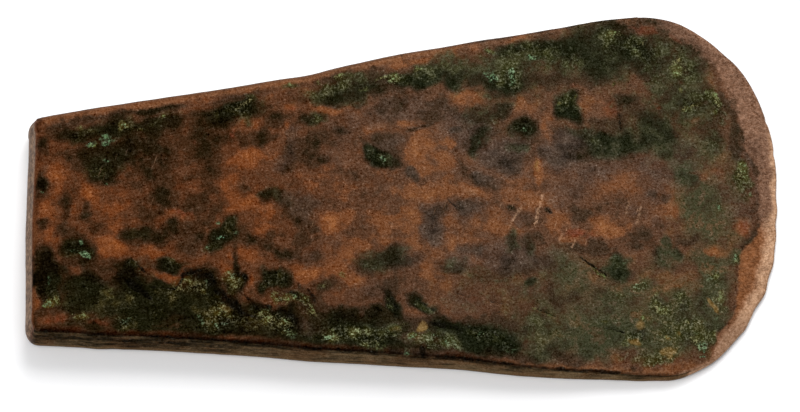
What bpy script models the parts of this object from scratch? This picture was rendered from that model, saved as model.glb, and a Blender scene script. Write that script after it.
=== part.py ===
"""A flat copper celt, a prehistoric axe head cast in one piece and hammered to shape.

It lies on its plain broad face. X runs from the butt to the cutting edge, Y across the blade
and Z up. The origin is on the ground under the middle of the celt's length and width.
All sizes are in metres.
"""

import math

import bmesh
import bpy
from mathutils import Vector

# Length and the widths of the body, from the butt to the shoulders of the blade
LENGTH = 0.1308
BUTT_WIDTH = 0.0393
WAIST_WIDTH = 0.0471
MIDDLE_WIDTH = 0.0561
FLANK_WIDTH = 0.0626
BLADE_WIDTH = 0.0668

# Where those widths lie, as shares of the length from the butt
WAIST_AT = 0.27
MIDDLE_AT = 0.50
FLANK_AT = 0.68

# Thickness of the body at the same places, then just inside the cutting edge
BUTT_THICKNESS = 0.0075
WAIST_THICKNESS = 0.0068
MIDDLE_THICKNESS = 0.0061
FLANK_THICKNESS = 0.0045
BLADE_THICKNESS = 0.0023
TIP_THICKNESS = 0.0018
CROWN = 0.0004

# The curved cutting edge and its ground facets
EDGE_SWEEP = 0.0212
EDGE_FULLNESS = 2.08
EDGE_TILT = 0.0007
EDGE_THICKNESS = 0.0007
EDGE_HEIGHT = 0.0011
BEVEL_WIDTH = 0.0056
UNDER_BEVEL_WIDTH = 0.0048
EDGE_RUNOUT = math.radians(22)

# The butt, its rounded corners and the long narrow sides
BUTT_CORNER_RADIUS = 0.0022
BUTT_SKEW = math.radians(3.7)
BUTT_SKEW_PIVOT = 0.36
BUTT_SKEW_REACH = 0.33
BUTT_LEAN = 0.0014
BUTT_SWELL = 0.0005
SIDE_LEAN = 0.0002
SIDE_SWELL = 0.0002
AXIS_BOW = 0.0006

# Rounding of the rims, as shares of the thickness
NEAR_ARRIS = 0.12
FAR_ARRIS = 0.22
UNDER_ARRIS = 0.11

# Hammer waves and dents in the outline: which run they are on, how far along it, how long
# each is as a share of that run, and how far it stands out, or in where it is negative
OUTLINE_DENTS = (
    ("near_corner", 0.45, 0.80, -0.00050),
    ("near", 0.09, 0.05, 0.00015),
    ("near", 0.42, 0.08, 0.00010),
    ("near", 0.68, 0.20, -0.00035),
    ("near", 0.95, 0.05, 0.00015),
    ("edge", 0.18, 0.20, -0.00046),
    ("edge", 0.227, 0.03, 0.00025),
    ("edge", 0.285, 0.03, -0.00020),
    ("edge", 0.315, 0.03, 0.00035),
    ("edge", 0.414, 0.06, -0.00040),
    ("edge", 0.486, 0.04, -0.00030),
    ("edge", 0.587, 0.05, 0.00012),
    ("edge", 0.78, 0.06, -0.00015),
    ("edge", 0.83, 0.20, -0.00080),
    ("far", 0.06, 0.10, 0.00040),
    ("far", 0.20, 0.08, -0.00015),
    ("far", 0.40, 0.10, 0.00020),
    ("far", 0.60, 0.12, -0.00020),
    ("far", 0.88, 0.20, 0.00030),
    ("far_corner", 0.40, 0.80, 0.00030),
    ("butt", 0.50, 0.50, 0.00025),
)

# Corroded hollows in the upper face, along the near side: the place as shares of the length
# and of the width there, the length and width of the hollow, its turn and its depth
HOLLOWS = (
    (0.130, -0.31, 0.0075, 0.0040, -22, 0.00045),
    (0.190, -0.26, 0.0055, 0.0032, -32, 0.00055),
    (0.245, -0.33, 0.0085, 0.0042, -28, 0.00065),
    (0.305, -0.38, 0.0080, 0.0036, -18, 0.00050),
    (0.350, -0.29, 0.0060, 0.0034, -30, 0.00050),
    (0.400, -0.37, 0.0075, 0.0034, -12, 0.00045),
    (0.480, -0.35, 0.0065, 0.0030, -35, 0.00040),
    (0.530, -0.40, 0.0075, 0.0034, -10, 0.00040),
)

# Where the middle line that the faces run to stops, in sweeps of the edge from its tip, and
# the least slant that the way there is taken to have
SPINE_STOP = 1.4
LEAST_SLANT = 0.4

# How finely the outline and the faces are divided
BUTT_STEPS = 12
CORNER_STEPS = 5
SIDE_STEPS = 48
EDGE_STEPS = 60
ARRIS_STEPS = 3
WALL_ROWS = 2
BEVEL_RINGS = 4
INNER_RINGS = 8

COPPER_COLOUR = (0.165, 0.072, 0.035, 1.0)
COPPER_ROUGHNESS = 0.5
COPPER_METALLIC = 0.35
SHARP_ANGLE = math.radians(35)


def smooth_step(value):
    """0 below 0, 1 above 1 and a smooth rise between."""
    value = min(max(value, 0.0), 1.0)
    return value * value * (3 - 2 * value)


def bump(distance, width):
    """A rounded hill of height 1 that fades out at about one width from its middle."""
    return math.exp(-((2 * distance / width) ** 2))


def through(stations, at):
    """The value at a place on a smooth curve through (place, value) stations."""
    places = [place for place, _ in stations]
    values = [value for _, value in stations]
    last = len(stations) - 1
    slopes = []
    for i in range(last + 1):
        before, after = max(i - 1, 0), min(i + 1, last)
        slopes.append((values[after] - values[before]) / (places[after] - places[before]))
    at = min(max(at, places[0]), places[last])
    i = max(k for k in range(last) if places[k] <= at)
    span = places[i + 1] - places[i]
    t = (at - places[i]) / span
    return (
        values[i] * (1 + 2 * t) * (1 - t) ** 2
        + values[i + 1] * t * t * (3 - 2 * t)
        + span * slopes[i] * t * (1 - t) ** 2
        - span * slopes[i + 1] * t * t * (1 - t)
    )


def shoulder_share():
    """Where the sides end and the cutting edge begins, as a share of the length."""
    return 1 - EDGE_SWEEP / LENGTH


def width_at(share):
    """The body's width at a share of the length, up to the shoulders."""
    return through(
        (
            (0, BUTT_WIDTH),
            (WAIST_AT, WAIST_WIDTH),
            (MIDDLE_AT, MIDDLE_WIDTH),
            (FLANK_AT, FLANK_WIDTH),
            (shoulder_share(), BLADE_WIDTH),
        ),
        share,
    )


def thickness_at(share):
    """The body's thickness at a share of the length, without the crown and the bevels."""
    return through(
        (
            (0, BUTT_THICKNESS),
            (WAIST_AT, WAIST_THICKNESS),
            (MIDDLE_AT, MIDDLE_THICKNESS),
            (FLANK_AT, FLANK_THICKNESS),
            (shoulder_share(), BLADE_THICKNESS),
            (1, TIP_THICKNESS),
        ),
        share,
    )


def share_of(x):
    """The share of the length, from the butt, that a place lies at."""
    return min(max((x + LENGTH / 2) / LENGTH, 0.0), 1.0)


def bow_at(share):
    """How far the middle line bends sideways, measured from a line through the shoulders."""
    return AXIS_BOW * (math.sin(math.pi * shoulder_share()) - math.sin(math.pi * share))


class RimPoint:
    """A point of the outline: its place, its spine point and how sharp the rim is there."""

    def __init__(self, run, along, x, y, sharp=0, shift=0):
        self.run = run
        self.along = along
        share = share_of(x)
        turned = max(0.0, 1 - share / BUTT_SKEW_REACH) ** 2
        skew = math.tan(BUTT_SKEW) * (y + BUTT_SKEW_PIVOT * BUTT_WIDTH) * turned
        self.sharp = sharp
        self.at_butt = smooth_step(1 - (x + LENGTH / 2) / BUTT_CORNER_RADIUS)
        self.place = Vector((x + skew + shift, y + bow_at(share)))
        self.spine = spine_at(x)
        self.arris = upper_arris(y) * thickness_at(share)
        self.under_arris = UNDER_ARRIS * thickness_at(share)
        self.inward = Vector((0, 0))


def upper_arris(y):
    """The rounding of the upper rim, which is rounder on the far side than on the near one."""
    return NEAR_ARRIS + (FAR_ARRIS - NEAR_ARRIS) * smooth_step((y + BUTT_WIDTH / 2) / BUTT_WIDTH)


def spine_at(x):
    """The place on the middle line that a place on the outline is joined to."""
    corner = BUTT_CORNER_RADIUS / LENGTH
    along = max(0.0, (share_of(x) - corner) / (1 - corner))
    first = -LENGTH / 2 + BUTT_WIDTH / 2
    last = LENGTH / 2 - SPINE_STOP * EDGE_SWEEP
    spine_x = first + (last - first) * along
    return Vector((spine_x, bow_at(share_of(spine_x))))


def side_places():
    """Shares along a side, from the corner of the butt to the shoulder, without its ends."""
    first = BUTT_CORNER_RADIUS / LENGTH
    last = shoulder_share()
    return [first + (last - first) * i / SIDE_STEPS for i in range(1, SIDE_STEPS)]


def corner_points(side):
    """The rounded corner of the butt on one side, from the butt face to the side."""
    points = []
    radius = BUTT_CORNER_RADIUS
    centre_x = -LENGTH / 2 + radius
    for i in range(CORNER_STEPS + 1):
        turn = 0.5 * math.pi * i / CORNER_STEPS
        x = centre_x - radius * math.cos(turn)
        half = width_at(share_of(centre_x)) / 2 - radius * (1 - math.sin(turn))
        points.append((x, side * half))
    return points


def outline():
    """The outline of the celt seen from above, counter-clockwise from the near corner."""
    points = []
    for i, (x, y) in enumerate(corner_points(-1)):
        points.append(RimPoint("near_corner", i / CORNER_STEPS, x, y))
    for i, share in enumerate(side_places(), 1):
        x = share * LENGTH - LENGTH / 2
        points.append(RimPoint("near", i / SIDE_STEPS, x, -width_at(share) / 2))
    for i in range(EDGE_STEPS + 1):
        turn = math.pi * (i / EDGE_STEPS - 0.5)
        x = LENGTH / 2 - EDGE_SWEEP * (1 - fuller(math.cos(turn)))
        y = BLADE_WIDTH / 2 * fuller(math.sin(turn))
        sharp = smooth_step((math.pi / 2 - abs(turn)) / EDGE_RUNOUT)
        points.append(RimPoint("edge", i / EDGE_STEPS, x, y, sharp, EDGE_TILT * math.sin(2 * turn)))
    for i, share in enumerate(reversed(side_places()), 1):
        x = share * LENGTH - LENGTH / 2
        points.append(RimPoint("far", i / SIDE_STEPS, x, width_at(share) / 2))
    for i, (x, y) in enumerate(reversed(corner_points(1))):
        points.append(RimPoint("far_corner", i / CORNER_STEPS, x, y))
    half = corner_points(1)[0][1]
    for i in range(1, BUTT_STEPS):
        points.append(RimPoint("butt", i / BUTT_STEPS, -LENGTH / 2, half * (1 - 2 * i / BUTT_STEPS)))
    face_inwards(points)
    dent(points)
    return points


def fuller(value):
    """A sine or cosine changed so that the edge is fuller than an ellipse."""
    return math.copysign(abs(value) ** (2 / EDGE_FULLNESS), value)


def face_inwards(points):
    """Gives each point of the outline its direction into the celt."""
    for i, point in enumerate(points):
        along = points[(i + 1) % len(points)].place - points[i - 1].place
        point.inward = Vector((-along.y, along.x)).normalized()


def dent(points):
    """Pushes the outline out and in where the hammer waves and dents are."""
    for point in points:
        for run, along, width, height in OUTLINE_DENTS:
            if run == point.run:
                point.place -= point.inward * height * bump(point.along - along, width)


def upper_height(point, place, depth):
    """The height of the upper face at a place, so deep inside a point of the outline."""
    x, y = place
    share = share_of(x)
    across = 2 * (y - bow_at(share)) / width_at(share)
    body = thickness_at(share) + CROWN * (1 - min(across * across, 1))
    for at, beside, length, width, turn, sunk in HOLLOWS:
        offset = Vector(((share - at) * LENGTH, y - beside * width_at(share)))
        turn = math.radians(turn)
        lengthwise = offset.x * math.cos(turn) + offset.y * math.sin(turn)
        crosswise = offset.y * math.cos(turn) - offset.x * math.sin(turn)
        body -= sunk * bump(lengthwise, length) * bump(crosswise, width)
    rim = EDGE_HEIGHT + EDGE_THICKNESS / 2
    facet = rim + (body - rim) * min(depth / BEVEL_WIDTH, 1)
    arris = body - point.arris + arc(depth, point.arris)
    return arris + (facet - arris) * point.sharp


def under_height(point, depth):
    """The height of the underside, flat but for its rounded rim and the edge's lower facet."""
    rim = EDGE_HEIGHT - EDGE_THICKNESS / 2
    facet = rim * (1 - min(depth / UNDER_BEVEL_WIDTH, 1))
    arris = point.under_arris - arc(depth, point.under_arris)
    return arris + (facet - arris) * point.sharp


def arc(depth, radius):
    """The rise of a quarter circle at a depth inside its outer end."""
    left = radius - min(depth, radius)
    return math.sqrt(radius * radius - left * left)


def ring_depths(radius):
    """Depths of the rings that round the rim, from the outline inwards."""
    turns = [0.5 * math.pi * i / ARRIS_STEPS for i in range(ARRIS_STEPS + 1)]
    return [radius * (1 - math.cos(turn)) for turn in turns]


def lean_of(point):
    """How far the top of the wall stands back from its foot, at a point of the outline."""
    side = SIDE_LEAN + (BUTT_LEAN - SIDE_LEAN) * point.at_butt
    return side * (1 - point.sharp)


def inner_places(point, start, bevel):
    """Places from the rounded rim in to the middle line, each with its depth."""
    rim = point.place + point.inward * start
    way = point.spine - rim
    slant = max(way.normalized().dot(point.inward), LEAST_SLANT)
    facet = max(bevel - start, 0) / slant / way.length
    shares = [facet * i / BEVEL_RINGS for i in range(1, BEVEL_RINGS + 1)]
    shares += [facet + (1 - facet) * i / INNER_RINGS for i in range(1, INNER_RINGS + 1)]
    return [(rim + way * share, start + way.length * share * slant) for share in shares]


def upper_column(point):
    """Points of the upper face from the rim in to the middle line."""
    lean = lean_of(point)
    column = []
    for depth in ring_depths(point.arris):
        place = point.place + point.inward * (lean + depth)
        column.append((place.x, place.y, upper_height(point, place, depth)))
    for place, depth in inner_places(point, lean + point.arris, BEVEL_WIDTH):
        column.append((place.x, place.y, upper_height(point, place, depth - lean)))
    return column


def under_column(point):
    """Points of the underside from the rim in to the middle line."""
    column = []
    for depth in ring_depths(point.under_arris):
        place = point.place + point.inward * depth
        column.append((place.x, place.y, under_height(point, depth)))
    for place, depth in inner_places(point, point.under_arris, UNDER_BEVEL_WIDTH):
        column.append((place.x, place.y, under_height(point, depth)))
    return column


def wall_column(point, top, foot):
    """Points of the narrow side between the two rims, swelling a little outwards."""
    swell = SIDE_SWELL + (BUTT_SWELL - SIDE_SWELL) * point.at_butt
    column = []
    for row in range(1, WALL_ROWS + 1):
        share = row / (WALL_ROWS + 1)
        place = Vector(top).lerp(Vector(foot), share)
        out = -point.inward * swell * math.sin(math.pi * share)
        column.append((place.x + out.x, place.y + out.y, place.z))
    return column


def celt_mesh():
    """The celt's skin: columns of points round the outline, joined by quads."""
    mesh = bmesh.new()
    columns = []
    for point in outline():
        upper = upper_column(point)
        under = under_column(point)
        wall = wall_column(point, upper[0], under[0])
        places = upper[::-1] + wall + under
        columns.append([mesh.verts.new(place) for place in places])
    for i, column in enumerate(columns):
        previous = columns[i - 1]
        for row in range(len(column) - 1):
            mesh.faces.new((previous[row], previous[row + 1], column[row + 1], column[row]))
    bmesh.ops.remove_doubles(mesh, verts=mesh.verts, dist=0.00001)
    bmesh.ops.recalc_face_normals(mesh, faces=mesh.faces)
    data = bpy.data.meshes.new("celt_body")
    mesh.to_mesh(data)
    mesh.free()
    return data


def copper():
    """Worn, tarnished copper."""
    material = bpy.data.materials.new("tarnished_copper")
    material.use_nodes = True
    shader = material.node_tree.nodes["Principled BSDF"]
    shader.inputs["Base Color"].default_value = COPPER_COLOUR
    shader.inputs["Roughness"].default_value = COPPER_ROUGHNESS
    shader.inputs["Metallic"].default_value = COPPER_METALLIC
    material.diffuse_color = COPPER_COLOUR
    return material


def clear_scene():
    """Removes every object that the scene starts with."""
    for thing in list(bpy.data.objects):
        bpy.data.objects.remove(thing)


def main():
    """Builds the celt in a collection of its own."""
    clear_scene()
    collection = bpy.data.collections.new("copper_celt")
    bpy.context.scene.collection.children.link(collection)
    body = bpy.data.objects.new("celt_body", celt_mesh())
    collection.objects.link(body)
    body.data.materials.append(copper())
    body.data.shade_smooth()
    body.data.set_sharp_from_angle(angle=SHARP_ANGLE)


main()
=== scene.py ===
"""The copper celt, dressed: its hammered, pitted and crusted skin, a floor, a light and a camera.

X runs from the butt to the cutting edge, Y across the blade and Z up, in metres. Places on the
celt's upper face are given in mm, as someone would measure them on the real one.
"""

import logging
import math
from collections.abc import Sequence
from dataclasses import dataclass, field
from enum import Enum
from typing import Any

import bpy
import numpy as np
from mathutils import Matrix, Vector
from mathutils.geometry import delaunay_2d_cdt
from mathutils.kdtree import KDTree


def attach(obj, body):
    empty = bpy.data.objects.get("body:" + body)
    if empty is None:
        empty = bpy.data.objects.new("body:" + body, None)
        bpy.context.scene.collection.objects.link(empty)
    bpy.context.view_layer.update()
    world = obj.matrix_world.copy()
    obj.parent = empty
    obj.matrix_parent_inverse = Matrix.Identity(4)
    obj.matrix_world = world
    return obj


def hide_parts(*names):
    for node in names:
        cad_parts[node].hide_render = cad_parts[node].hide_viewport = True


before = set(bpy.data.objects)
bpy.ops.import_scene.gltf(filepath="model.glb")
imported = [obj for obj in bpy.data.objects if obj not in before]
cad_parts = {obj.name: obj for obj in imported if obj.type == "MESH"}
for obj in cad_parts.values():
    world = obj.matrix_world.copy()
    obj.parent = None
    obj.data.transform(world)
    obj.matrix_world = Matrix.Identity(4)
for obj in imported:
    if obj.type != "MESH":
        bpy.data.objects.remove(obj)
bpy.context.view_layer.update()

LOG = logging.getLogger("celt")
MM = 0.001
RIGHT_ANGLE = math.pi / 2
EYE_GAMMA = 2.2
STUDIO_LIGHT = 1.45
Array = np.ndarray
Shade = tuple[int, int, int]
Shades = tuple[Shade, Shade]


class Run(Enum):
    """A stretch of the outline, in order from the near corner of the butt."""

    NEAR_CORNER = 0
    NEAR_SIDE = 1
    CUTTING_EDGE = 2
    FAR_SIDE = 3
    FAR_CORNER = 4
    BUTT = 5


class Coat(Enum):
    """Something that colours the copper in patches. The value is the mesh attribute's name."""

    TARNISH = "tarnish"
    GREY_FILM = "grey_film"
    GREEN_FILM = "green_film"
    GREEN_CRUST = "green_crust"
    PALE_CRUST = "pale_crust"
    VERDIGRIS = "verdigris"
    OCHRE = "ochre"
    RED = "red"
    BRIGHT_COPPER = "bright_copper"
    SCRATCHED = "scratched"
    SCRATCH = "scratch"
    BARE_EDGE = "bare_edge"
    BROWN_EDGE = "brown_edge"
    OUTER_EDGE = "outer_edge"
    LIGHT_FILM = "light_film"
    RIM = "rim"
    NEAR_RIM = "near_rim"
    SIDE = "side"
    # Painted light from the white floor on the lower sides and the butt's face; the sides are also lighter
    # towards the blade.
    FOOT_LIGHT = "foot"
    WARM = "warm"
    BUTT_FACE = "butt_face"
    # Painted shade in the pits, slits and side grooves and along the rims; real grime on the underside.
    DIRT_AND_SHADE = "dirt"


Coats = dict[Coat, Array]


@dataclass(frozen=True)
class Dent:
    """A bulge of the outline, or a dent: its place and length as shares of a run, its height in mm."""

    along: float
    width: float
    height: float


@dataclass(frozen=True)
class Patch:
    """A soft oval on the upper face: its middle, length and width, how strong it is and its turn."""

    x: float
    y: float
    length: float
    width: float
    strength: float
    turn: float = 0.0

    def radius(self, x: Array, y: Array, bends: "Bends") -> Array:
        """Distance from the middle, as a share of the way to the oval's ragged rim.

        Args:
            x: places along the celt, in mm.
            y: places across the celt, in mm.
            bends: how the places are bent, so that the oval gets a ragged rim.

        Returns:
            0 at the middle, 1 on the rim and more outside.
        """
        turn = math.radians(self.turn)
        bend_x, bend_y = bends.within(min(self.length, self.width))
        dx, dy = x - self.x + bend_x, y - self.y + bend_y
        along = dx * math.cos(turn) + dy * math.sin(turn)
        across = dy * math.cos(turn) - dx * math.sin(turn)
        return np.hypot(along / (self.length / 2), across / (self.width / 2))


@dataclass(frozen=True)
class Bends:
    """Sideways shifts of places in mm, at three sizes of unevenness."""

    coarse: tuple[Array, Array]
    middling: tuple[Array, Array]
    fine: tuple[Array, Array]

    def within(self, width: float) -> tuple[Array, Array]:
        """The shifts that suit an oval of that width.

        Args:
            width: the oval's width in mm.

        Returns:
            The shifts along and across the celt, in mm.
        """
        amounts = (0.42 * min(width, 7), 0.34 * min(width, 3), 0.22 * min(width, 1.4))
        layers = (self.coarse, self.middling, self.fine)
        along = sum(amount * layer[0] for amount, layer in zip(amounts, layers))
        across = sum(amount * layer[1] for amount, layer in zip(amounts, layers))
        return along, across


@dataclass(frozen=True)
class Slit:
    """A straight narrow groove in the upper face, from one place to another, in mm."""

    x: float
    y: float
    end_x: float
    end_y: float
    width: float
    depth: float
    dark: float

    def distance(self, x: Array, y: Array) -> Array:
        """Distance from the groove's line in mm.

        Args:
            x: places along the celt, in mm.
            y: places across the celt, in mm.

        Returns:
            The distance of each place.
        """
        way_x, way_y = self.end_x - self.x, self.end_y - self.y
        share = ((x - self.x) * way_x + (y - self.y) * way_y) / (way_x**2 + way_y**2)
        share = np.clip(share, 0, 1)
        return np.hypot(x - self.x - share * way_x, y - self.y - share * way_y)


def dents(*rows: Sequence[float]) -> tuple[Dent, ...]:
    """Makes a dent of each row: its place along the run, its length and its height."""
    return tuple(Dent(*row) for row in rows)


def patches(*rows: Sequence[float]) -> tuple[Patch, ...]:
    """Makes a patch of each row: x, y, length, width, strength in percent and the turn if it has one."""
    return tuple(Patch(*row[:4], row[4] / 100, *row[5:]) for row in rows)


def slits(*rows: Sequence[float]) -> tuple[Slit, ...]:
    """Makes a groove of each row: x, y, end_x, end_y, width, depth and dark."""
    return tuple(Slit(*row) for row in rows)


DENTS: dict[Run, tuple[Dent, ...]] = {
    Run.NEAR_CORNER: dents((0.45, 0.8, -0.1)),
    Run.NEAR_SIDE: dents(
        (0.12, 0.22, -0.05), (0.09, 0.05, 0.15), (0.42, 0.08, 0.1), (0.52, 0.12, -0.2), (0.65, 0.18, -0.55),
        (0.95, 0.05, 0.15),
    ),
    Run.CUTTING_EDGE: dents(
        (0.07, 0.1, -0.3), (0.18, 0.2, -0.46), (0.227, 0.03, 0.25), (0.275, 0.03, -0.2), (0.312, 0.04, 0.4),
        (0.368, 0.04, 0.3), (0.44, 0.03, -0.25), (0.486, 0.04, -0.3), (0.552, 0.01, -0.14),
        (0.587, 0.05, 0.12), (0.613, 0.01, -0.16), (0.78, 0.06, -0.15), (0.83, 0.2, -0.8),
    ),
    Run.FAR_SIDE: dents(
        (0.06, 0.1, 0.4), (0.2, 0.08, -0.15), (0.4, 0.1, 0.2), (0.545, 0.08, -0.35), (0.85, 0.34, 0.42),
    ),
    Run.FAR_CORNER: dents((0.5, 0.9, 0.39)),
    Run.BUTT: dents((0.5, 0.5, 0.25)),
}

PATCHES: dict[Coat, tuple[Patch, ...]] = {}
PATCHES[Coat.TARNISH] = patches(
    (-47, -14.4, 26, 10, 55, -6), (-57, -9, 12, 10, 30), (-30, -19, 18, 8, 50, -14), (-42, 1.6, 14, 5, 25),
    (-30.6, 11.6, 5, 10, 40), (8, -24, 24, 6, 30, -12), (-14, 11, 12, 8, 12), (-50, 12, 10.5, 6.6, 62),
    (-40, 12.6, 17, 7, 40), (-38, 6, 9, 6, 35), (-42, 2.6, 6.4, 5.4, 35), (-61, 7, 2.4, 5.4, 85, 8),
    (-57.8, 3, 2, 5, 50, 5), (-54, 2, 2, 3.8, 45), (-58.8, -1.6, 3, 2.4, 50), (-62, 0, 3, 2, 50),
    (-61.6, -8.4, 4.2, 9, 100, 4), (-61, -12, 3, 5, 60), (-55.3, -4.8, 6.5, 5.4, 80),
    (-44.8, -2.9, 7, 4.6, 75), (-40, -2.6, 5, 3.4, 55), (-36.4, -3.6, 6, 5, 30), (-30.4, -4.2, 6, 5, 70),
    (-61, 14.6, 4.4, 3.4, 65, 20), (-52, 16.6, 12, 4, 72), (-41, 16.8, 12, 4, 60),
    (-29.5, 18.2, 12, 4.6, 95), (-33, 14.5, 5, 6, 55), (-32, 9, 4, 10, 20),
    (-53.5, -11.6, 12, 6.4, 85, -12), (-46.6, -11.6, 7.4, 3.2, 100, -38), (-46.6, -8.6, 4, 2.4, 85, -30),
    (-39.6, -8.8, 6, 3, 80), (-43, -15.4, 12, 6, 75, -8), (-47, -19, 8, 3, 70), (-56, -16, 12, 4, 50, -6),
    (-36.6, -17.4, 11, 6.4, 85, -10), (-33.6, -12.8, 5.4, 6, 80, -20), (-29, -9.6, 1.5, 6, 70),
    (-29, -13.4, 4, 5, 80, 15), (-29.4, -18.6, 7, 5, 70, -35), (-22.4, -19.8, 10, 5, 60, -35),
    (-19, -20.6, 10, 5, 20, -15), (-18.4, -13.6, 0.8, 1.6, 50), (-9, -20.2, 17, 3.6, 75, -4),
    (-9, -23.6, 20, 5, 50, -5), (-22.4, 13.6, 3.6, 2.8, 40), (-14, 16, 4.6, 2.4, 40),
    (-19.4, 17.4, 3.6, 2, 35), (-15.4, 12.6, 3, 3.4, 25), (-9, 14, 6, 2.4, 35), (-20.6, 2.5, 5.4, 4.6, 65),
    (-17.6, 0.2, 7, 5, 40), (-14.4, -4, 2.6, 1.4, 50), (-25, -6, 6, 3, 50), (-19.6, -7.4, 6, 2.8, 50),
    (-16, -8.8, 4, 2, 25), (-22.6, -12, 5.6, 4, 85), (-12.6, -14.4, 5, 3.4, 40, 20),
    (-2, 8.6, 5.6, 5.6, 100), (3.2, 5.2, 3.2, 3, 62), (5.3, -4, 4.6, 7, 42, -15), (-4, -11, 12, 5, 42, 5),
    (-2.5, -18.4, 3, 5, 90, 25), (2.6, -18.8, 6, 2.2, 85, -42), (4.4, 13.9, 5, 1, 45, 12),
    (10.6, 13, 2.6, 1.2, 75, 12), (-8, 20.4, 14, 3.6, 60, 6), (5.5, 21.6, 11, 5, 60, 4),
    (14.6, 15, 8, 3.4, 30), (18.4, 16.6, 4, 3.2, 50), (22.2, 13.2, 5, 4.4, 48), (14.2, 10.8, 4, 4, 40),
    (19, 7, 7, 5.4, 50, 10), (13.6, 3.8, 3, 3, 50), (30.4, 17, 5.4, 5.4, 100), (28.4, 8.6, 7, 6, 42),
    (27.6, 6.6, 3, 1.6, 60), (38, 9.6, 13, 5, 42), (45.6, 11.2, 8, 8, 32), (22, -9, 5, 4.4, 28),
    (18.6, -7.8, 2.4, 4.4, 30), (20.6, -12, 10, 4.4, 42, 10), (12, -8.8, 4, 3, 42), (9.4, -12.2, 7, 3, 40),
    (11.4, -1.4, 4, 3, 50, -25), (19, -2, 1.6, 1.4, 60), (25.4, -2.6, 1.6, 1.4, 60),
    (36.6, -12.8, 4, 5.4, 68), (21.9, -15.4, 1.8, 1.8, 40), (44.6, -12, 6.4, 4.2, 36),
    (45.2, -8.8, 2.4, 2.2, 50), (41.6, -7.6, 2, 2, 25), (46.2, -1, 2.4, 1.8, 35), (43.5, 0.2, 2, 1.4, 35),
    (49.6, 2.6, 4, 6, 20), (52.6, -4, 7, 9, 5), (58, 17, 1.8, 13, 30, 13), (59.2, 8, 1.8, 9, 35),
    (35.6, 24, 6, 8, 25, 20), (29, 27, 8, 4, 45, 5), (22, 28, 8, 3, 50, 8), (18, 21.4, 9, 4, 50),
    (52.6, 23, 4, 8, 20, 25), (6, -22.6, 7, 3, 85, -18), (12.4, -25.4, 12, 5, 55, -12),
    (16.4, -26.4, 4, 3, 60, -30), (34, -26, 14, 6, 30, -5), (-12.6, 9, 2.4, 1.8, 30),
    (-62.8, -11.5, 2.2, 10, 70), (-52, -19.4, 20, 2.4, 45, -4), (-36, -20.6, 20, 2.8, 60, -5),
    (-20, -23, 18, 2.8, 60, -7), (-4, -26, 18, 2.6, 65, -9), (12, -28, 16, 2, 50, -7), (-26, 13, 7, 5, 35),
    (0.6, 8.8, 5, 5, 40), (15, 2.6, 6, 4, 30), (-16, -4, 8, 4, 25), (23, -4, 8, 4, 20),
    (-43, -4.4, 8, 3, 30), (26, -9.6, 8, 5, 25), (0, 20, 8, 5, 10, 5), (32, 10, 8, 10, 20),
    (-43, 10.6, 12, 8, 40), (8, 22, 12, 4, 45, 4), (34, 26, 18, 7, 20, 4), (44, 24, 10, 8, 25),
    (28, 21, 8, 4, 20), (-63, -9, 2, 8, 50), (-21, 16.4, 5, 2.6, 30, 10), (-32, -21.4, 20, 1.6, 50, -6),
    (-17, 21, 5, 3, 30), (0, 12.4, 9, 4.4, 42), (8, 17, 7, 4, 30), (-1, 17, 7, 4, 25),
    (15.6, 12.6, 6, 3, 20), (48, 17, 12, 4, 25), (-33, 2, 7, 4.4, 50), (16, 2.4, 6, 4, 20),
    (-57, -1.6, 6, 3.4, 35), (-16.5, -2, 7, 4, 25), (-50, -8, 8, 3, 40), (24, -7.4, 8, 4, 25),
    (32, -8.6, 8, 4, 25), (40, -8, 8, 4.4, 30), (-17, -13, 7, 4, 20), (-32, -17.6, 8, 4, 30, -20),
    (18, -23, 12, 4, 25, -5), (28, -28, 14, 4, 25, -3), (53, 27.6, 14, 4, 42, -48),
    (60, 21, 10, 3, 10, -65), (62.6, 6, 3, 8, 30), (-48, 17.4, 7, 3.6, 50), (-46, -6, 6, 3, 30),
    (-24, 12.6, 6, 4, 20), (40, 17.4, 6, 3, 30), (-16, -22.4, 6, 3, 25, -12), (37, 32, 13, 3, 45, 6),
    (47.6, 33, 8, 3, 50, -10), (24, 27.4, 6, 3, 25, 5), (0, 7.6, 5, 4, 30), (24, 7.6, 5, 3, 15),
    (32, -2.6, 5, 4, 15), (-40, -7.6, 6, 4, 35), (-8, -12.6, 5, 3, 15), (-32, -17.6, 6, 3, 30, -20),
    (-16, -17.6, 5, 3, 20), (0, -22.6, 6, 3, 25), (-40, 21.8, 7, 3, 30, 8), (-56, 17.4, 6, 3, 15),
    (0, 12.6, 6, 4, 20), (16, 12.6, 5, 3, 20), (-32, 6, 6, 6, 15), (-24, 7.6, 6, 3, 15),
    (16, 2.6, 5, 3, 15), (-34, -7.6, 6, 3, 20), (-32, -18.6, 6, 3, 35, -20), (-16, -22.4, 5, 3, 20, -12),
    (56, 17.4, 6, 3, 15), (-32, -18.6, 7, 4, 30, -20), (-47, 19.8, 20, 2.4, 50, 4),
    (-57, 18.4, 7, 2, 30, 10), (-18.4, 9, 2.6, 8, 30, 8), (-54.4, -4.6, 5.4, 5, 35),
    (-41.5, -3.2, 6, 3, 40), (-46, -2.6, 5, 3, 25), (-48, 20, 22, 2, 30, 4), (-10, 24.4, 12, 2.4, 30, 12),
    (-27, 21.6, 12, 2, 25, 5), (-32, -17.5, 8, 5, 40, -20), (3, -26.6, 10, 2, 40, -8),
)
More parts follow.
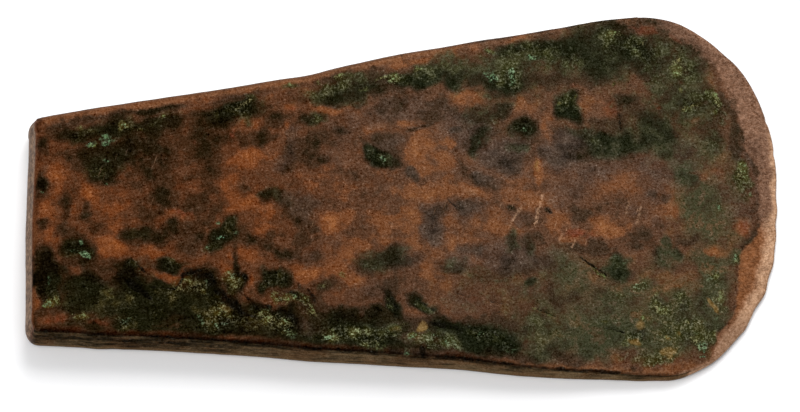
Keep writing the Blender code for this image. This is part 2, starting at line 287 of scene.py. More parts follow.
PATCHES[Coat.GREY_FILM] = patches(
    (34, 6, 24, 16, 35), (14, 2, 26, 20, 25), (50, 0, 16, 20, 30), (10, 24, 30, 6, 35, 6),
    (-38, 9, 12, 8, 20), (-18, 14.6, 2.4, 4.6, 100, -15), (-19.4, 8, 4, 3.6, 100), (-17, 1, 8, 6, 70),
    (-9, 12, 9, 10, 50), (-4, 16.6, 8, 5, 60), (-14, -8, 14, 4, 50, 8), (5.2, -4.2, 5.4, 8, 100, -15),
    (0, -11, 8, 5, 60), (4, 17, 10, 4, 60, 8), (11.4, 13.6, 9, 7, 75), (18.4, 8, 9, 8, 90, 15),
    (14, 3.6, 4, 4, 80), (28.4, 8.4, 7, 8, 100), (28, 1, 8, 6, 60), (11.6, -2, 7, 4, 70, -10),
    (14, -11, 16, 7, 75), (21, -10, 8, 6, 90), (19, -4.4, 6, 3, 50), (27, -12, 8, 6, 50),
    (34, 4.6, 9, 5, 50), (44, 4, 8, 8, 60), (50, 7, 7, 8, 60), (40, -3, 10, 4, 45), (57.6, -3, 6, 8, 60),
    (45, -5.6, 7, 4, 40), (-35, -5, 7, 6, 50), (3, 5, 4, 3, 60), (48, -18, 6, 6, 40), (32, -21, 12, 5, 40),
    (-19, -21, 9, 3, 60, -15), (-6, -16, 10, 4, 50), (9, -18.4, 14, 5, 50, -5), (22, -17.4, 10, 4, 50),
    (61.6, 2, 3, 12, 50), (0, 12, 7, 4, 50), (48, 2, 10, 8, 30), (-18.2, 11, 3, 12, 70, -8),
    (60.4, 6, 3, 6, 30), (-26, 21.8, 18, 2.8, 50, 6), (-50.5, -12, 6, 3, 40, -25),
)
PATCHES[Coat.GREEN_FILM] = patches(
    (50, 13, 20, 24, 55, 5), (38, 13, 18, 12, 40), (52, -5, 14, 18, 40), (30, -16, 26, 14, 45, 5),
    (14, -18, 26, 8, 30, -5), (44, -20, 22, 14, 42), (20, 20, 22, 7, 40, 5), (-47, -15, 30, 9, 70, -6),
    (-61.2, -12.6, 3.4, 6, 80), (-55.6, -5, 7, 6, 70), (-50, 10.6, 8, 6, 60), (-48, 16.6, 18, 5, 60),
    (-44.8, -3, 6, 4, 50), (-30.4, -4.2, 6, 5, 95), (-51, -14.4, 18, 7, 75, -10), (-46, -8.8, 6, 3, 70),
    (-39.4, -8.8, 7, 2.8, 80, -6), (-38, -15.6, 14, 8, 90, -10), (-22.6, -12, 5.6, 4, 90),
    (-27, 18.6, 12, 5, 80, 5), (-14, 16, 5, 3, 70), (-18, 23, 6, 1.6, 80, 6), (-8, 21.8, 16, 6, 85, 7),
    (-21, 2.6, 5, 4, 60), (-4, -10.8, 10, 5.4, 72, 5), (-2, 8.4, 5, 5.4, 85), (8, 23.6, 18, 7, 90, 5),
    (22, 25, 18, 9, 100, 8), (19.6, 21.6, 8, 5, 90), (38, 26.4, 22, 12, 100, 4), (50, 22, 12, 15, 90, 20),
    (15.4, 15.4, 8, 4.4, 60, 5), (14.4, 10.6, 4.6, 5, 70), (21, 12.6, 7, 5.4, 60), (21, 9, 5, 2, 60),
    (30.4, 17, 5.4, 6, 80), (31, 11.4, 6, 3, 50), (38.4, 9.8, 12, 5, 85), (45.8, 11.4, 7.4, 8, 100),
    (53.6, 15.6, 9, 9, 75), (55.6, 8, 6, 9, 70), (49.4, 3, 4, 6, 85), (52.6, -4, 8, 12, 85),
    (58.6, 2, 5, 9, 60, -5), (46, 19.4, 3, 2.6, 70), (18.8, -7.8, 3, 4.8, 70), (22.4, -8.6, 3.6, 3.6, 60),
    (9, -12.4, 7, 3.4, 60), (15, -14.6, 8, 3.6, 50), (27.6, -15, 9, 8, 75, 15), (36.6, -12.8, 4, 5.6, 90),
    (44.8, -12, 7, 5, 80), (45, -8.6, 3, 2.6, 80), (40.6, -16.8, 4.6, 3.4, 75),
    (12.6, -25, 16, 6, 100, -10), (27, -24.6, 22, 10, 90, -5), (38, -25.4, 20, 10, 85),
    (36, -19, 10, 5, 70), (48, -26, 16, 11, 95, 15), (45, -20.4, 9, 7, 70), (53.4, -18, 8, 13, 95, -10),
    (57, -12.6, 4, 4, 90), (59.6, -9.4, 4, 2.6, 60), (5, -24.6, 8, 5, 95, -15), (-9, -22.6, 20, 6, 90, -6),
    (-23, -20, 10, 5, 90, -35), (-32.4, -18.6, 9, 6, 90, -20), (-2.6, -18, 3, 5, 60, 25),
    (2.6, -18.6, 6, 2.4, 80, -42), (-18.6, -16.6, 7, 4, 70, -30), (-47.6, -18.6, 7, 3, 70),
    (-56, -17.8, 6, 2.4, 50), (-13, -14.4, 5, 3, 50, 15), (52, -13, 8, 5, 60), (21.9, -15.4, 2, 2, 80),
    (-52, -19.2, 20, 2.4, 30, -4), (-36, -20.6, 20, 2.8, 50, -5), (-20, -23, 18, 2.8, 50, -7),
    (-4, -25.6, 18, 2.4, 50, -9), (9, 22.6, 18, 6, 90, 5), (34, 27, 20, 8, 45, 4), (53.6, 6, 5, 6, 50),
)
PATCHES[Coat.GREEN_CRUST] = patches(
    (-53.6, 17, 6, 3, 55), (-51, 9.6, 6, 2.4, 35), (-45.4, 17, 7, 3, 55), (-39, 18.6, 5, 2.4, 60),
    (-27, 18.8, 9, 4.4, 75, 10), (-18, 23, 4, 1.2, 60, 6), (-13.6, 16, 3.6, 1.8, 40),
    (-9, 22.4, 11, 4, 70, 8), (1, 22.6, 7, 3.6, 90), (9, 23.8, 12, 4, 45, 8), (20, 22.4, 8, 5, 75),
    (24, 26.6, 12, 5, 65, 8), (17, 27.4, 4, 2.6, 60), (40, 28.6, 9, 5, 70, 5), (30, 25, 10, 5, 45),
    (44, 26, 6, 7, 65), (50.4, 22.4, 6, 9, 70, 10), (45.6, 21.4, 4, 2.6, 50), (53.4, 16, 8, 4, 60),
    (56.4, 15.4, 2.6, 8, 75, 10), (55.4, 8, 3, 6, 45), (59.8, 2, 3, 8, 80, -5), (55, -3.4, 2, 3, 50),
    (30.6, 17.6, 4, 4, 55), (22.4, 12.8, 3.6, 3, 60), (-2, 8.2, 4, 4.4, 60), (34, 10, 4, 2, 30),
    (-61.2, -13, 3, 4, 60), (-55, -6, 4, 2, 50), (-31, -4.2, 4.6, 3.6, 55), (-50, -14.4, 12, 4, 25, -10),
    (-40.6, -15.6, 9, 5, 50, -10), (-46, -8.6, 4.6, 1.8, 60, -20), (-39.6, -8.6, 5, 2.4, 60),
    (-36.6, -13, 7, 3.6, 90, -8), (-48, -18.4, 5.4, 2.6, 70), (-55.4, -17.8, 4.4, 2, 55),
    (-32, -18.4, 8, 6, 100, -20), (-29.6, -12.6, 3.4, 5, 85, 15), (-23, -20.2, 9, 4.4, 100, -38),
    (-22.8, -12, 4.4, 3.4, 65), (-19, -17, 8, 3.6, 85, -35), (-13, -14.2, 5, 2.6, 45, 20),
    (-9, -22.8, 17, 4, 100, -6), (-3, -17.6, 2, 3, 50, 25), (2.4, -18.8, 5, 1.4, 50, -42),
    (5.4, -25.6, 8, 3.4, 90, -12), (12.6, -24.4, 5, 3, 75, -10), (16, -26.6, 5, 2.6, 60, -20),
    (24, -24, 12, 6, 35, -5), (36.6, -12.4, 3, 4, 50), (40.6, -16.8, 3.6, 2.4, 60),
    (35.6, -18.8, 5, 2.4, 50), (53.4, -16.4, 3, 4, 70), (54, -21, 3.6, 6, 55), (43.6, -21, 3.6, 3.6, 80),
    (47, -19.6, 3, 4, 60), (47.6, -25.4, 10, 8, 75), (50, -28.4, 6, 4, 80, 25), (43, -29.6, 6, 3.4, 85),
    (38.4, -26, 6, 4, 85), (33, -23, 6, 2, 40), (56.8, -13.4, 2, 4, 70), (45, -24, 12, 10, 40),
    (39, -30, 8, 3, 60), (2, -25.4, 6, 3, 60, -12), (-27, -20.6, 6, 3, 50, -30),
)
PATCHES[Coat.PALE_CRUST] = patches(
    (-52.1, 13.8, 1.8, 1.3, 100), (-46.8, 17.4, 2.4, 2, 90, -30), (-43.9, 16.3, 1.2, 0.9, 70),
    (-39.8, 18.6, 1.2, 1, 80), (-54, 17.6, 3, 1.6, 50), (-52, 9.6, 4, 0.8, 45),
    (-26.4, 19.4, 4, 1.8, 65, 20), (-24.8, 20, 1.4, 1.2, 80), (-18.6, 23.1, 3.4, 0.8, 70, 6),
    (-12.4, 23.4, 1.4, 1.6, 70), (-8.4, 23.7, 2.6, 1.6, 95), (-5, 21.4, 2.4, 1.2, 50),
    (0.6, 22.7, 3.8, 3, 80, 30), (-2, 23, 3, 1.2, 80, 10), (4.8, 24.5, 2, 1, 80), (10, 25.4, 3, 1, 45),
    (17.3, 27.5, 2.2, 1.2, 90), (29, 17.4, 1, 0.8, 100), (31.8, 18.3, 0.8, 0.8, 80),
    (38.9, 20.7, 1, 1.2, 90), (36.6, 21.6, 1, 0.8, 60), (40, 30, 3.4, 2.4, 65), (43.8, 27.6, 3, 3.4, 60),
    (50.4, 24.6, 1.2, 1.8, 90), (49.8, 22.4, 4, 3.6, 60), (50, 18.6, 1.4, 1.4, 90),
    (52.4, 15.8, 4.4, 1, 90, 8), (50.6, 15.2, 1.2, 0.8, 80), (56.4, 16.6, 1.4, 2.6, 100),
    (56, 14, 1, 2, 80), (54.8, 18.4, 0.8, 2, 50), (59.4, 3.6, 2, 3, 70), (60.6, -1.4, 1.2, 1, 80),
    (-62, -14.6, 2.2, 2.2, 85), (-36.6, -13, 6.4, 3.2, 60, -6), (-35, -14, 3, 1, 40),
    (-44, -15.6, 6, 3, 20, -20), (-55.6, -17.6, 3, 1.4, 60), (-29.8, -12.4, 3, 5.2, 26, 18),
    (-32, -17, 4, 3, 34, -35), (-31, -19, 4, 2.6, 30, -20), (-24, -19, 4.8, 3.6, 60, -40),
    (-21.6, -21.2, 6, 3.6, 55, -38), (-21, -16.2, 4.8, 2.8, 70, -48), (-17.6, -16.8, 3, 3.4, 75),
    (-16.6, -19, 3.4, 2, 65, -30), (-13, -14, 3.6, 1.4, 50, 30), (-10.6, -12.4, 1.2, 1.2, 50),
    (-13.8, -22.2, 3.8, 3.6, 38), (-9, -22.8, 7, 4, 32, -6), (-5, -23.8, 6, 4, 32, -10),
    (-1.2, -22, 2.4, 1, 70, 15), (0.2, -24.2, 1.8, 1.6, 70), (-3.4, -17.8, 1.2, 3, 35, 25),
    (21.6, -20.4, 2.4, 0.9, 60, -20), (24, -21.4, 2, 0.8, 60, -20), (33.3, -14.1, 3.4, 0.9, 100, -38),
    (33.6, -22.9, 1.6, 0.7, 85), (43.5, -21.2, 2.6, 2.8, 75), (40.4, -22.8, 1.4, 1.4, 70),
    (47.8, -23.8, 1.4, 1, 90, -50), (45.9, -25.4, 1, 1.2, 90, -40), (44.3, -26.4, 1, 1.6, 90, 25),
    (36.8, -27.2, 2, 1.6, 60), (48.6, -28, 2.4, 3.6, 75, 15), (51.6, -25.4, 2, 2, 50),
    (53.6, -16.2, 1.8, 1.6, 80), (54.4, -20, 1.4, 4, 50, 10), (47, -19.6, 1.4, 2.4, 50),
    (57, -14, 1, 2.4, 60), (-49, -13, 12, 4, 12, -12), (43.2, -18.8, 1.2, 1.6, 50),
    (59.8, 3.4, 1.6, 3.4, 50), (52.4, -19, 2, 3, 50, 20), (48.4, -27, 4, 3, 50, 30),
    (60, 2.4, 2.2, 3.4, 45), (-61.2, -14, 2.8, 3.2, 50), (-48, -17.8, 5, 2, 30), (-55.6, -17, 4, 1.8, 30),
)
PATCHES[Coat.VERDIGRIS] = patches(
    (-49.8, 14.8, 3.2, 2, 60, 20), (-50.2, 13.7, 1.3, 1, 100), (-50, 6.9, 0.8, 0.8, 80),
    (-50, 11, 0.9, 0.7, 70), (-61.2, 5.6, 0.8, 0.6, 50), (-55.1, -3.8, 0.9, 2.2, 75),
    (-54.5, -6.3, 1.8, 1.6, 90), (-55.8, -5.6, 3, 1.2, 60, -15), (-61.2, -10.6, 0.9, 2, 60),
    (-62.2, -14.4, 1.8, 2, 40), (-45, -9.6, 1, 1, 50), (-48.2, -18.3, 3.4, 1.8, 50),
    (-35.4, -19, 1.8, 2.4, 45), (-31.6, -1.6, 0.9, 0.8, 80), (-31.2, -4.3, 1.8, 1.2, 85),
    (-33.2, -5.8, 0.9, 1, 40), (-28.2, -4, 1.4, 1, 40), (-32, -20, 4, 2, 50, -10),
    (-20.6, -22.4, 4, 2.2, 40, -30), (-14.2, -22.8, 1.8, 1.8, 50), (17, 22.8, 2.2, 2.8, 90),
    (20.7, 22.4, 1.8, 3.2, 80), (25.4, 25.7, 3.6, 1.1, 80, 5), (22.6, 12.4, 2.6, 1, 60, 10),
    (14.6, 10.6, 1, 1.6, 40), (-2, 8, 1, 1.6, 50), (59.9, 3.6, 1.2, 2.6, 35), (60.6, -1, 0.9, 1.4, 70),
    (55, -3.2, 1, 1.4, 70), (18.6, -7.4, 1, 2.4, 35), (36.6, -11.4, 2, 1.8, 35), (38, -12.4, 1, 1.4, 50),
    (40.4, -16.8, 3.4, 2, 38), (35.5, -18.7, 2.4, 1.6, 35), (56.8, -12.6, 1, 1.6, 60),
    (49.8, -30, 1.6, 0.9, 85, 20), (5.4, -25.6, 5.4, 2.4, 40, -15), (0.2, -24.6, 1.6, 1.2, 60),
    (12.4, -24.2, 1.6, 1.4, 60), (17.2, -27.6, 2, 1, 50), (-1.1, -27.2, 2.4, 2.4, 65),
    (46, -22.4, 1, 1.4, 40), (52.6, -23.4, 2, 1.4, 40), (49.4, -28.6, 3, 2.2, 65, 20),
    (-52.4, 14, 1.9, 1.4, 90), (-46.8, 17.2, 1.5, 1.3, 45), (49, -26, 2.2, 1.6, 50, 30),
    (52.4, -16.4, 1.8, 1.6, 40),
)
PATCHES[Coat.OCHRE] = patches(
    (2, -22.6, 2.8, 2, 90, 25), (38.6, -27, 2.4, 1.9, 85), (39.7, -24.2, 2.8, 2.4, 65),
    (43.6, -29, 3.4, 2.4, 70), (53, -21.8, 1.2, 1.6, 70), (52.2, -20.4, 1, 3, 75, 25),
    (44.3, -26.4, 0.8, 1.4, 70, 25), (46, -25.4, 0.8, 1, 60), (24.2, 5.4, 1.1, 4, 50),
    (-30.6, -17, 3, 2, 35, -30), (-2.6, -23, 3, 2, 30), (56.4, 16, 1.4, 3, 30), (-60, -17, 5, 1.6, 25, -4),
)
PATCHES[Coat.RED] = patches(
    (44.6, 30.4, 5, 2, 50, -15), (43, 21.8, 4, 1.4, 50, 10), (46.3, 19.9, 1.8, 1.2, 70),
    (46, 16.3, 1.6, 1.4, 95), (48.9, 10.6, 1, 0.8, 85), (37, 16.4, 4.4, 3.6, 45, 15),
    (31.6, 20.8, 3, 1.8, 50), (29.6, -6.6, 3.4, 2.6, 55), (21, -17.4, 3, 1.6, 65, 15),
    (11, -18, 7, 1.4, 60, -12), (-37, 0.6, 8, 1.4, 40), (-28.4, 14.4, 1.8, 2, 60),
    (-16.4, 18.6, 4, 1.6, 40), (-34.4, 14, 2, 3, 35), (41.4, 14, 3, 1.6, 50), (58.4, -7, 2.6, 3.2, 55),
    (-21, -16.4, 1, 1, 30), (-60, -17.6, 6, 1.8, 50, -8), (-53, -18.4, 6, 1.4, 50, -6),
    (-41, -19.8, 7, 1.4, 45, -6), (37.6, 16.4, 6, 3.4, 20, 12), (32, -6.8, 8, 4, 40),
    (53.6, -11.2, 3, 2, 25), (51, 3.8, 3, 1.8, 35), (48, -11, 2, 2, 30), (-60.5, -17.8, 7, 2.2, 25, -4),
    (-51.5, -18.8, 6, 1.6, 25, -4), (46.6, 30, 4, 2.2, 70, -20), (50.6, 28.8, 4, 2, 60, -38),
    (43.6, 31.4, 6, 1.6, 50, -5),
)
PATCHES[Coat.BRIGHT_COPPER] = patches(
    (-50, 4, 11, 7, 95), (-50, -4, 8, 6, 90, -5), (-44, -6.4, 9, 3, 70, -5), (-58, 9.4, 5, 6, 55),
    (-61.8, 11.4, 2.4, 3, 50), (-60, -3, 4, 3, 35), (-56.6, -10, 4, 2.6, 60, -20), (-38, 0.2, 9, 2, 80, 3),
    (-27, 1, 8, 5, 100, 5), (-26, 8.6, 9, 6, 62, -10), (-29, 12.4, 4, 3, 50),
    (-40.4, -11, 4.6, 2.6, 100, 5), (-34.6, -8, 4, 2, 50), (-27.6, -8.6, 5, 2.4, 80, -10),
    (-26, -12.6, 3.4, 4, 70), (-26.6, -16, 2.4, 3, 50, 20), (-17.4, -11.6, 5.6, 4.4, 100),
    (-24, -3.6, 4, 2, 70), (-11.8, 7.6, 3, 2, 70), (-13.4, 3, 5, 3, 60), (-18.4, 16, 1.6, 2.4, 80),
    (-11, 17.6, 4, 2, 80), (-8.4, 15, 4, 2, 50), (-11.6, -3.4, 6, 4, 85), (-9.6, -8.6, 3, 4, 80),
    (-9, -14, 3, 3, 50), (-0.6, -3, 6, 5, 100, 20), (-2.5, -6.6, 5, 2.4, 80), (3, 2, 8, 2.6, 75, 5),
    (4.6, 9.4, 5, 7, 60), (8, 7, 5, 5, 70), (9.6, 11, 3, 2, 100), (2, 15, 3, 1.4, 90),
    (13, 18.8, 5.4, 2.8, 95, 10), (22.6, 17.4, 4.6, 4.4, 85, -20), (26.6, 12, 3, 9, 85),
    (25.2, 20.4, 2.6, 2.6, 60), (24.4, 4.6, 1.4, 8, 90), (12.8, 7.6, 4, 3, 60), (12, 1.2, 6, 2, 50),
    (8.6, -8.2, 2, 3.4, 80), (4.2, -13, 4, 3, 60), (12.6, -11.4, 3, 1.6, 70), (16, -5, 7, 4, 60),
    (22, -1, 6, 4, 70), (28, -5.4, 5, 4, 60), (35.4, 2, 10, 5, 55), (36, -5.6, 9, 5, 90),
    (29.6, -8.4, 5, 3, 90), (36, 17, 6, 4, 60), (33.4, 12.8, 2, 1.4, 70), (46, -3, 5, 5, 40),
    (53, -11, 3.4, 2.8, 85), (48.6, -11, 2.4, 3, 60), (58.4, -7, 3, 3.6, 75), (52.8, 2.6, 2.2, 2.4, 70),
    (52.4, 12.6, 3.4, 2, 60), (44, -17, 9, 3, 45), (32.6, -15.4, 3, 2, 45, -20), (3, 26.2, 8, 1.4, 60, 8),
    (-50, 21, 22, 1.6, 25, 4), (-60, 18.6, 6, 2.4, 40, 12), (8, 2.4, 9, 5, 90), (-2, -4, 8, 6, 50, 10),
    (40, -2, 9, 6, 50), (48, -2, 6, 8, 40), (14, 17.6, 6, 4, 40), (-33, 3.4, 7, 5, 35), (-6, -9, 10, 4, 30),
    (57, 2, 4, 8, 30), (-66, 14, 5, 6, 50), (-48, 8, 4, 2, 20), (0, -3.6, 9, 6, 50, 10), (-6, -6, 8, 4, 30),
    (13, 18.6, 7, 4, 40, 10), (48, -6, 7, 5, 35), (-40.6, -11.4, 5, 2.6, 90, 5),
    (-56, -9.6, 4.4, 3, 70, -20), (-52, 5.8, 8, 4, 50), (36, 16.4, 5, 3, 20, 12), (57.4, -7.4, 3, 3, 30),
    (48, 2, 8, 12, 15), (2, 26, 9, 2, 45, 8), (-32, 21.6, 10, 1.8, 75, 3), (14, 18.2, 7, 3, 50, 10),
    (-50, 5.4, 12, 5, 40), (48, 0, 14, 12, 30), (-8, 2.4, 8, 4, 45), (0, -3.6, 11, 6, 50, 5),
    (8, -3, 4, 4, 35), (0, -8.4, 8, 3.4, 30), (-14, -8, 10, 3, 40), (47, -17, 8, 4, 50),
    (-32.4, 12.6, 5, 3, 35), (-32, -2.6, 5, 4, 35), (0, -2.6, 7, 4, 50), (1, 22, 7, 4, 25),
    (15, 17.4, 5, 3, 35), (46, -18.4, 9, 3, 50), (56, 12.4, 6, 4, 40), (-8, -7.6, 6, 3, 30),
    (0, 26.8, 9, 2.4, 50, 8), (7.6, 7.6, 5, 4, 30), (16, 7.6, 5, 4, 30), (8, -12.6, 6, 3, 35),
    (40, 2.6, 6, 3, 35), (56, 2.6, 6, 3, 35), (48, -2.6, 6, 3, 35), (56, -2.6, 5, 3, 35),
    (0, -2.6, 5, 4, 50), (-64, -7.6, 5, 3, 50), (32, -7, 6, 3, 25), (58.2, -7.2, 3, 3.6, 60),
    (53.6, -11.2, 3.4, 2.4, 60), (51, 3.8, 3.4, 2, 70), (48, -11, 2.4, 2.4, 60), (40, -15.6, 9, 2, 40),
    (44, 6, 5, 3, 35), (40, 2, 8, 4, 30), (-60, -17.4, 7, 2.6, 60, -4), (-51.5, -18.6, 5, 1.6, 50, -4),
    (55, 0, 10, 16, 25), (52.2, 28.4, 4, 1.8, 50, -42), (56.4, 24.4, 4, 2, 40, -55),
)
PATCHES[Coat.SCRATCHED] = patches(
    (21.6, -3, 9, 5, 100), (32.4, -6.4, 12, 6, 100), (40.8, -2, 3, 5, 100), (-42, 6, 22, 16, 35),
    (-5, 0, 40, 20, 30),
)

# Here a patch's strength is a pit's depth or a bump's height, in hundredths of a mm.
PITS = patches(
    (-46.6, -11.4, 7, 3, 45, -38), (-45.6, -8.8, 2.4, 1.6, 30, -40), (-36.2, -12.7, 7.4, 4.2, 50, -8),
    (-29.2, -12.6, 3.2, 5, 45, 15), (-31.4, -17.4, 7, 5.4, 55, -35), (-23, -19.8, 8, 4.4, 50, -40),
    (-22.4, -12.2, 4.8, 3.4, 16), (-20.6, -16, 4.4, 2.8, 42, -48), (-17.1, -16.8, 3, 3.6, 50, 20),
    (-13.6, -22.4, 4, 2.6, 26), (-8, -22.6, 9, 3, 30, -8), (-2.9, -17.8, 2.2, 4.6, 40, 25),
    (2.8, -18.7, 5.6, 1.8, 32, -42), (0.4, -24.2, 3, 1.8, 26), (6, -23.6, 7, 3, 36, -16),
    (12.6, -24.4, 5, 2.4, 26, -15), (16.6, -26, 3.4, 2, 22, -30), (-61.6, -9.5, 2.4, 8, 14),
    (-55, -5.4, 4, 3, 12), (52.6, -21, 1.2, 4, 22, 25), (44.3, -26.5, 1, 1.9, 18, 25),
    (46.1, -25.5, 0.9, 1.5, 16, 30), (48, -23.6, 1, 1.7, 16, 30), (38.6, -27, 2.2, 1.4, 12),
    (43.6, -29.2, 3.2, 2.4, 12), (-2, 8.4, 4.6, 4.4, 8), (30.4, 17, 3.6, 4, 10), (36.6, -12.8, 3, 4.6, 8),
    (20.6, 22.4, 3, 3, 12), (17, 22.9, 1.8, 2, 12),
)

BUMPS = patches(
    (-47, -8, 3, 1.4, 16, -20), (-39.8, -8.8, 5, 2.2, 14), (-41, -11.2, 4.4, 2.4, 16, 5),
    (-26, -15, 3.6, 5.6, 18, 10), (-18.6, -19.6, 6, 1.4, 12, -30), (-1.1, -27.4, 2.2, 2.4, 35),
    (2, -27.5, 1.4, 2.2, 30), (53.8, -16.4, 2.4, 3, 8), (56.5, 16, 1.6, 4, 6),
)

# A slit's last column, dark, is how strongly painted shade darkens its groove.
SLITS = slits(
    (-50.5, -9, -47.4, -11.2, 0.9, 0.1, 0.5), (-47.4, -11.2, -43.8, -14.6, 1, 0.16, 0.9),
    (-46.8, -7.2, -44.6, -9.8, 0.4, 0.1, 0.8), (-43.4, -12.6, -39.6, -13.1, 0.4, 0.1, 0.8),
    (-39.6, -13.1, -38, -11.2, 0.4, 0.1, 0.8), (-38.2, -10.8, -34.6, -9.9, 0.6, 0.1, 0.8),
    (-35, -10.6, -32.6, -13.8, 0.5, 0.12, 0.6), (-29.2, -8, -28.4, -11, 0.35, 0.06, 0.4),
    (-28.4, -11, -27.6, -14.6, 0.3, 0.06, 0.25), (-27.8, -15, -25.6, -17.4, 0.4, 0.12, 0.8),
    (-31.2, -15, -28.6, -18, 0.5, 0.16, 0.75), (-28.6, -18, -26.2, -18.9, 0.5, 0.16, 0.8),
    (-25.2, -16.8, -23.4, -17.3, 0.35, 0.1, 0.8), (-22.4, -17.8, -19.2, -21.4, 0.4, 0.12, 0.5),
    (-20.6, -14.2, -18.8, -16.4, 0.4, 0.1, 0.4), (-16.8, -14.9, -15.6, -17.4, 0.45, 0.14, 0.6),
    (-14.5, -19.6, -6, -20.2, 0.7, 0.08, 0.3), (-6, -20.2, -1, -21, 0.7, 0.08, 0.3),
    (-4, -15.4, -1.8, -19, 0.5, 0.12, 0.65), (0.8, -16.9, 5.2, -20.4, 0.4, 0.1, 0.6),
    (3.6, -21.8, 8.8, -23.5, 0.6, 0.12, 0.7), (9, -22.4, 13.2, -25, 0.4, 0.08, 0.5),
    (14.2, -24.2, 17.2, -26.6, 0.4, 0.08, 0.6), (30.2, -11.2, 34.6, -14.7, 0.28, 0.2, 0.9),
    (14, -18.6, 17, -19.4, 0.22, 0.08, 0.6), (14.2, -20.8, 15.6, -20.7, 0.26, 0.12, 0.8),
    (22.2, -20.4, 25.2, -21.8, 0.26, 0.16, 0.8), (33.2, -24, 36.8, -25.1, 0.28, 0.16, 0.9),
    (39.2, 15, 39.3, 12, 0.3, 0.14, 0.8), (8, 0.4, 9.8, -1.6, 0.24, 0.08, 0.6),
    (8, -16.8, 10, -17.4, 0.24, 0.06, 0.6), (25, -2, 26, -3.1, 0.26, 0.08, 0.8),
    (56.9, 21.4, 58.7, 14, 0.5, 0.06, 0.25), (58.7, 14, 59.6, 8.6, 0.5, 0.06, 0.25),
    (2.4, 25.8, 2.3, 27.4, 0.5, 0.06, 0.7), (1.9, -26.6, 2.1, -28.4, 0.9, 0, 0.9),
    (0.4, -26.8, 0.6, -28.2, 0.4, 0.1, 0.7),
)

SCRATCHES = slits(
    (18.3, -5.3, 20.8, -1.8, 0.24, 0, 0.6), (22.8, -5.3, 24.7, 0.5, 0.26, 0, 0.8),
    (29, -9.4, 29.7, -7.8, 0.24, 0, 0.7), (27, -8.4, 27.5, -7, 0.28, 0, 0.5),
    (38.8, -3.6, 39.6, -1.2, 0.22, 0, 0.35), (40.6, -5.6, 41.5, -2.4, 0.22, 0, 0.5),
)

# Where the bare metal beside the cutting edge begins: places across the celt and along it, in mm.
BARE_LINE = (
    (-33.5, 43), (-32.6, 46), (-31.7, 48.8), (-30.6, 51), (-28, 52.4), (-25.4, 53.4), (-22.9, 55.9),
    (-20.8, 56.8), (-16.2, 57.3), (-12.3, 58), (-10.8, 59), (-8.6, 61.4), (-7, 61.8), (-2, 62.5), (3, 62.4),
    (7.3, 61), (13.5, 60), (18.5, 58.9), (22.3, 57.6), (24.2, 56.7), (26.2, 55.1), (27.8, 53.5),
    (29.3, 51.2), (31, 49.2), (33, 46.4),
)

FILMS = (Coat.GREY_FILM, Coat.GREEN_FILM)
CRUSTS = (Coat.GREEN_CRUST, Coat.PALE_CRUST)
SIDE_COATS = (Coat.SIDE, Coat.BUTT_FACE)


def seen(shade: Shade) -> tuple[float, float, float, float]:
    """The surface colour that looks like a screen colour under the studio's light.

    Args:
        shade: its red, green and blue, from 0 to 255.

    Returns:
        The linear colour with an alpha of 1.
    """
    shares = (channel / 255 for channel in shade)
    parts = [(s / 12.92 if s <= 0.04045 else ((s + 0.055) / 1.055) ** 2.4) / STUDIO_LIGHT for s in shares]
    return (*parts, 1.0)


def smooth(low: float, high: float, value: Array | float) -> Array | float:
    """A smooth rise from 0 where the value is low to 1 where it is high."""
    share = np.clip((value - low) / (high - low), 0, 1)
    return share * share * (3 - 2 * share)


def hill(distance: Array, width: float) -> Array:
    """A rounded hill of height 1 that fades out at about one width from its middle."""
    return np.exp(-((2 * distance / width) ** 2))


def weaken(coats: Coats, kinds: Sequence[Coat], share: Array | float) -> None:
    """Leaves only a share of some kinds of the coats."""
    for kind in kinds:
        coats[kind] = coats[kind] * share


def placed_object(name: str, data: Any) -> Any:
    """Adds an object to the scene.

    Args:
        name: its name.
        data: its mesh, lamp or camera.

    Returns:
        The object.
    """
    thing = bpy.data.objects.new(name, data)
    bpy.context.scene.collection.objects.link(thing)
    return thing


class Noise:
    """Smooth seeded noise on a plane, for relief and for ragged edges."""

    def __init__(self, seed: int) -> None:
        """Fills the lattice that the noise is read from; the seed fixes its pattern."""
        self.lattice = np.random.default_rng(seed).uniform(-1, 1, (256, 256))

    def at(self, x: Array, y: Array, size: float) -> Array:
        """One layer of noise.

        Args:
            x: places along the celt, in mm.
            y: places across the celt, in mm.
            size: the size of its features, in mm.

        Returns:
            Values between -1 and 1.
        """
        u, v = x / size + 97.3, y / size + 41.7
        i, j = np.floor(u).astype(int), np.floor(v).astype(int)
        a, b = smooth(0, 1, u - i), smooth(0, 1, v - j)
        i, j, k, m = i % 256, j % 256, (i + 1) % 256, (j + 1) % 256
        low = self.lattice[i, j] * (1 - a) + self.lattice[k, j] * a
        high = self.lattice[i, m] * (1 - a) + self.lattice[k, m] * a
        return low * (1 - b) + high * b

    def layered(self, x: Array, y: Array, size: float, layers: int = 3) -> Array:
        """Several layers of noise between about -1 and 1, each half as large and strong as the last."""
        total = sum(0.5**n * self.at(x + 31.1 * n, y - 17.9 * n, size * 0.5**n) for n in range(layers))
        return total / (2 - 0.5 ** (layers - 1))


@dataclass
class Rim:
    """Points round the outline and what the skin needs to know at each of them."""

    place: Array
    inward: Array
    run: Array
    sharp: Array
    at_butt: Array
    arris: Array
    under_arris: Array


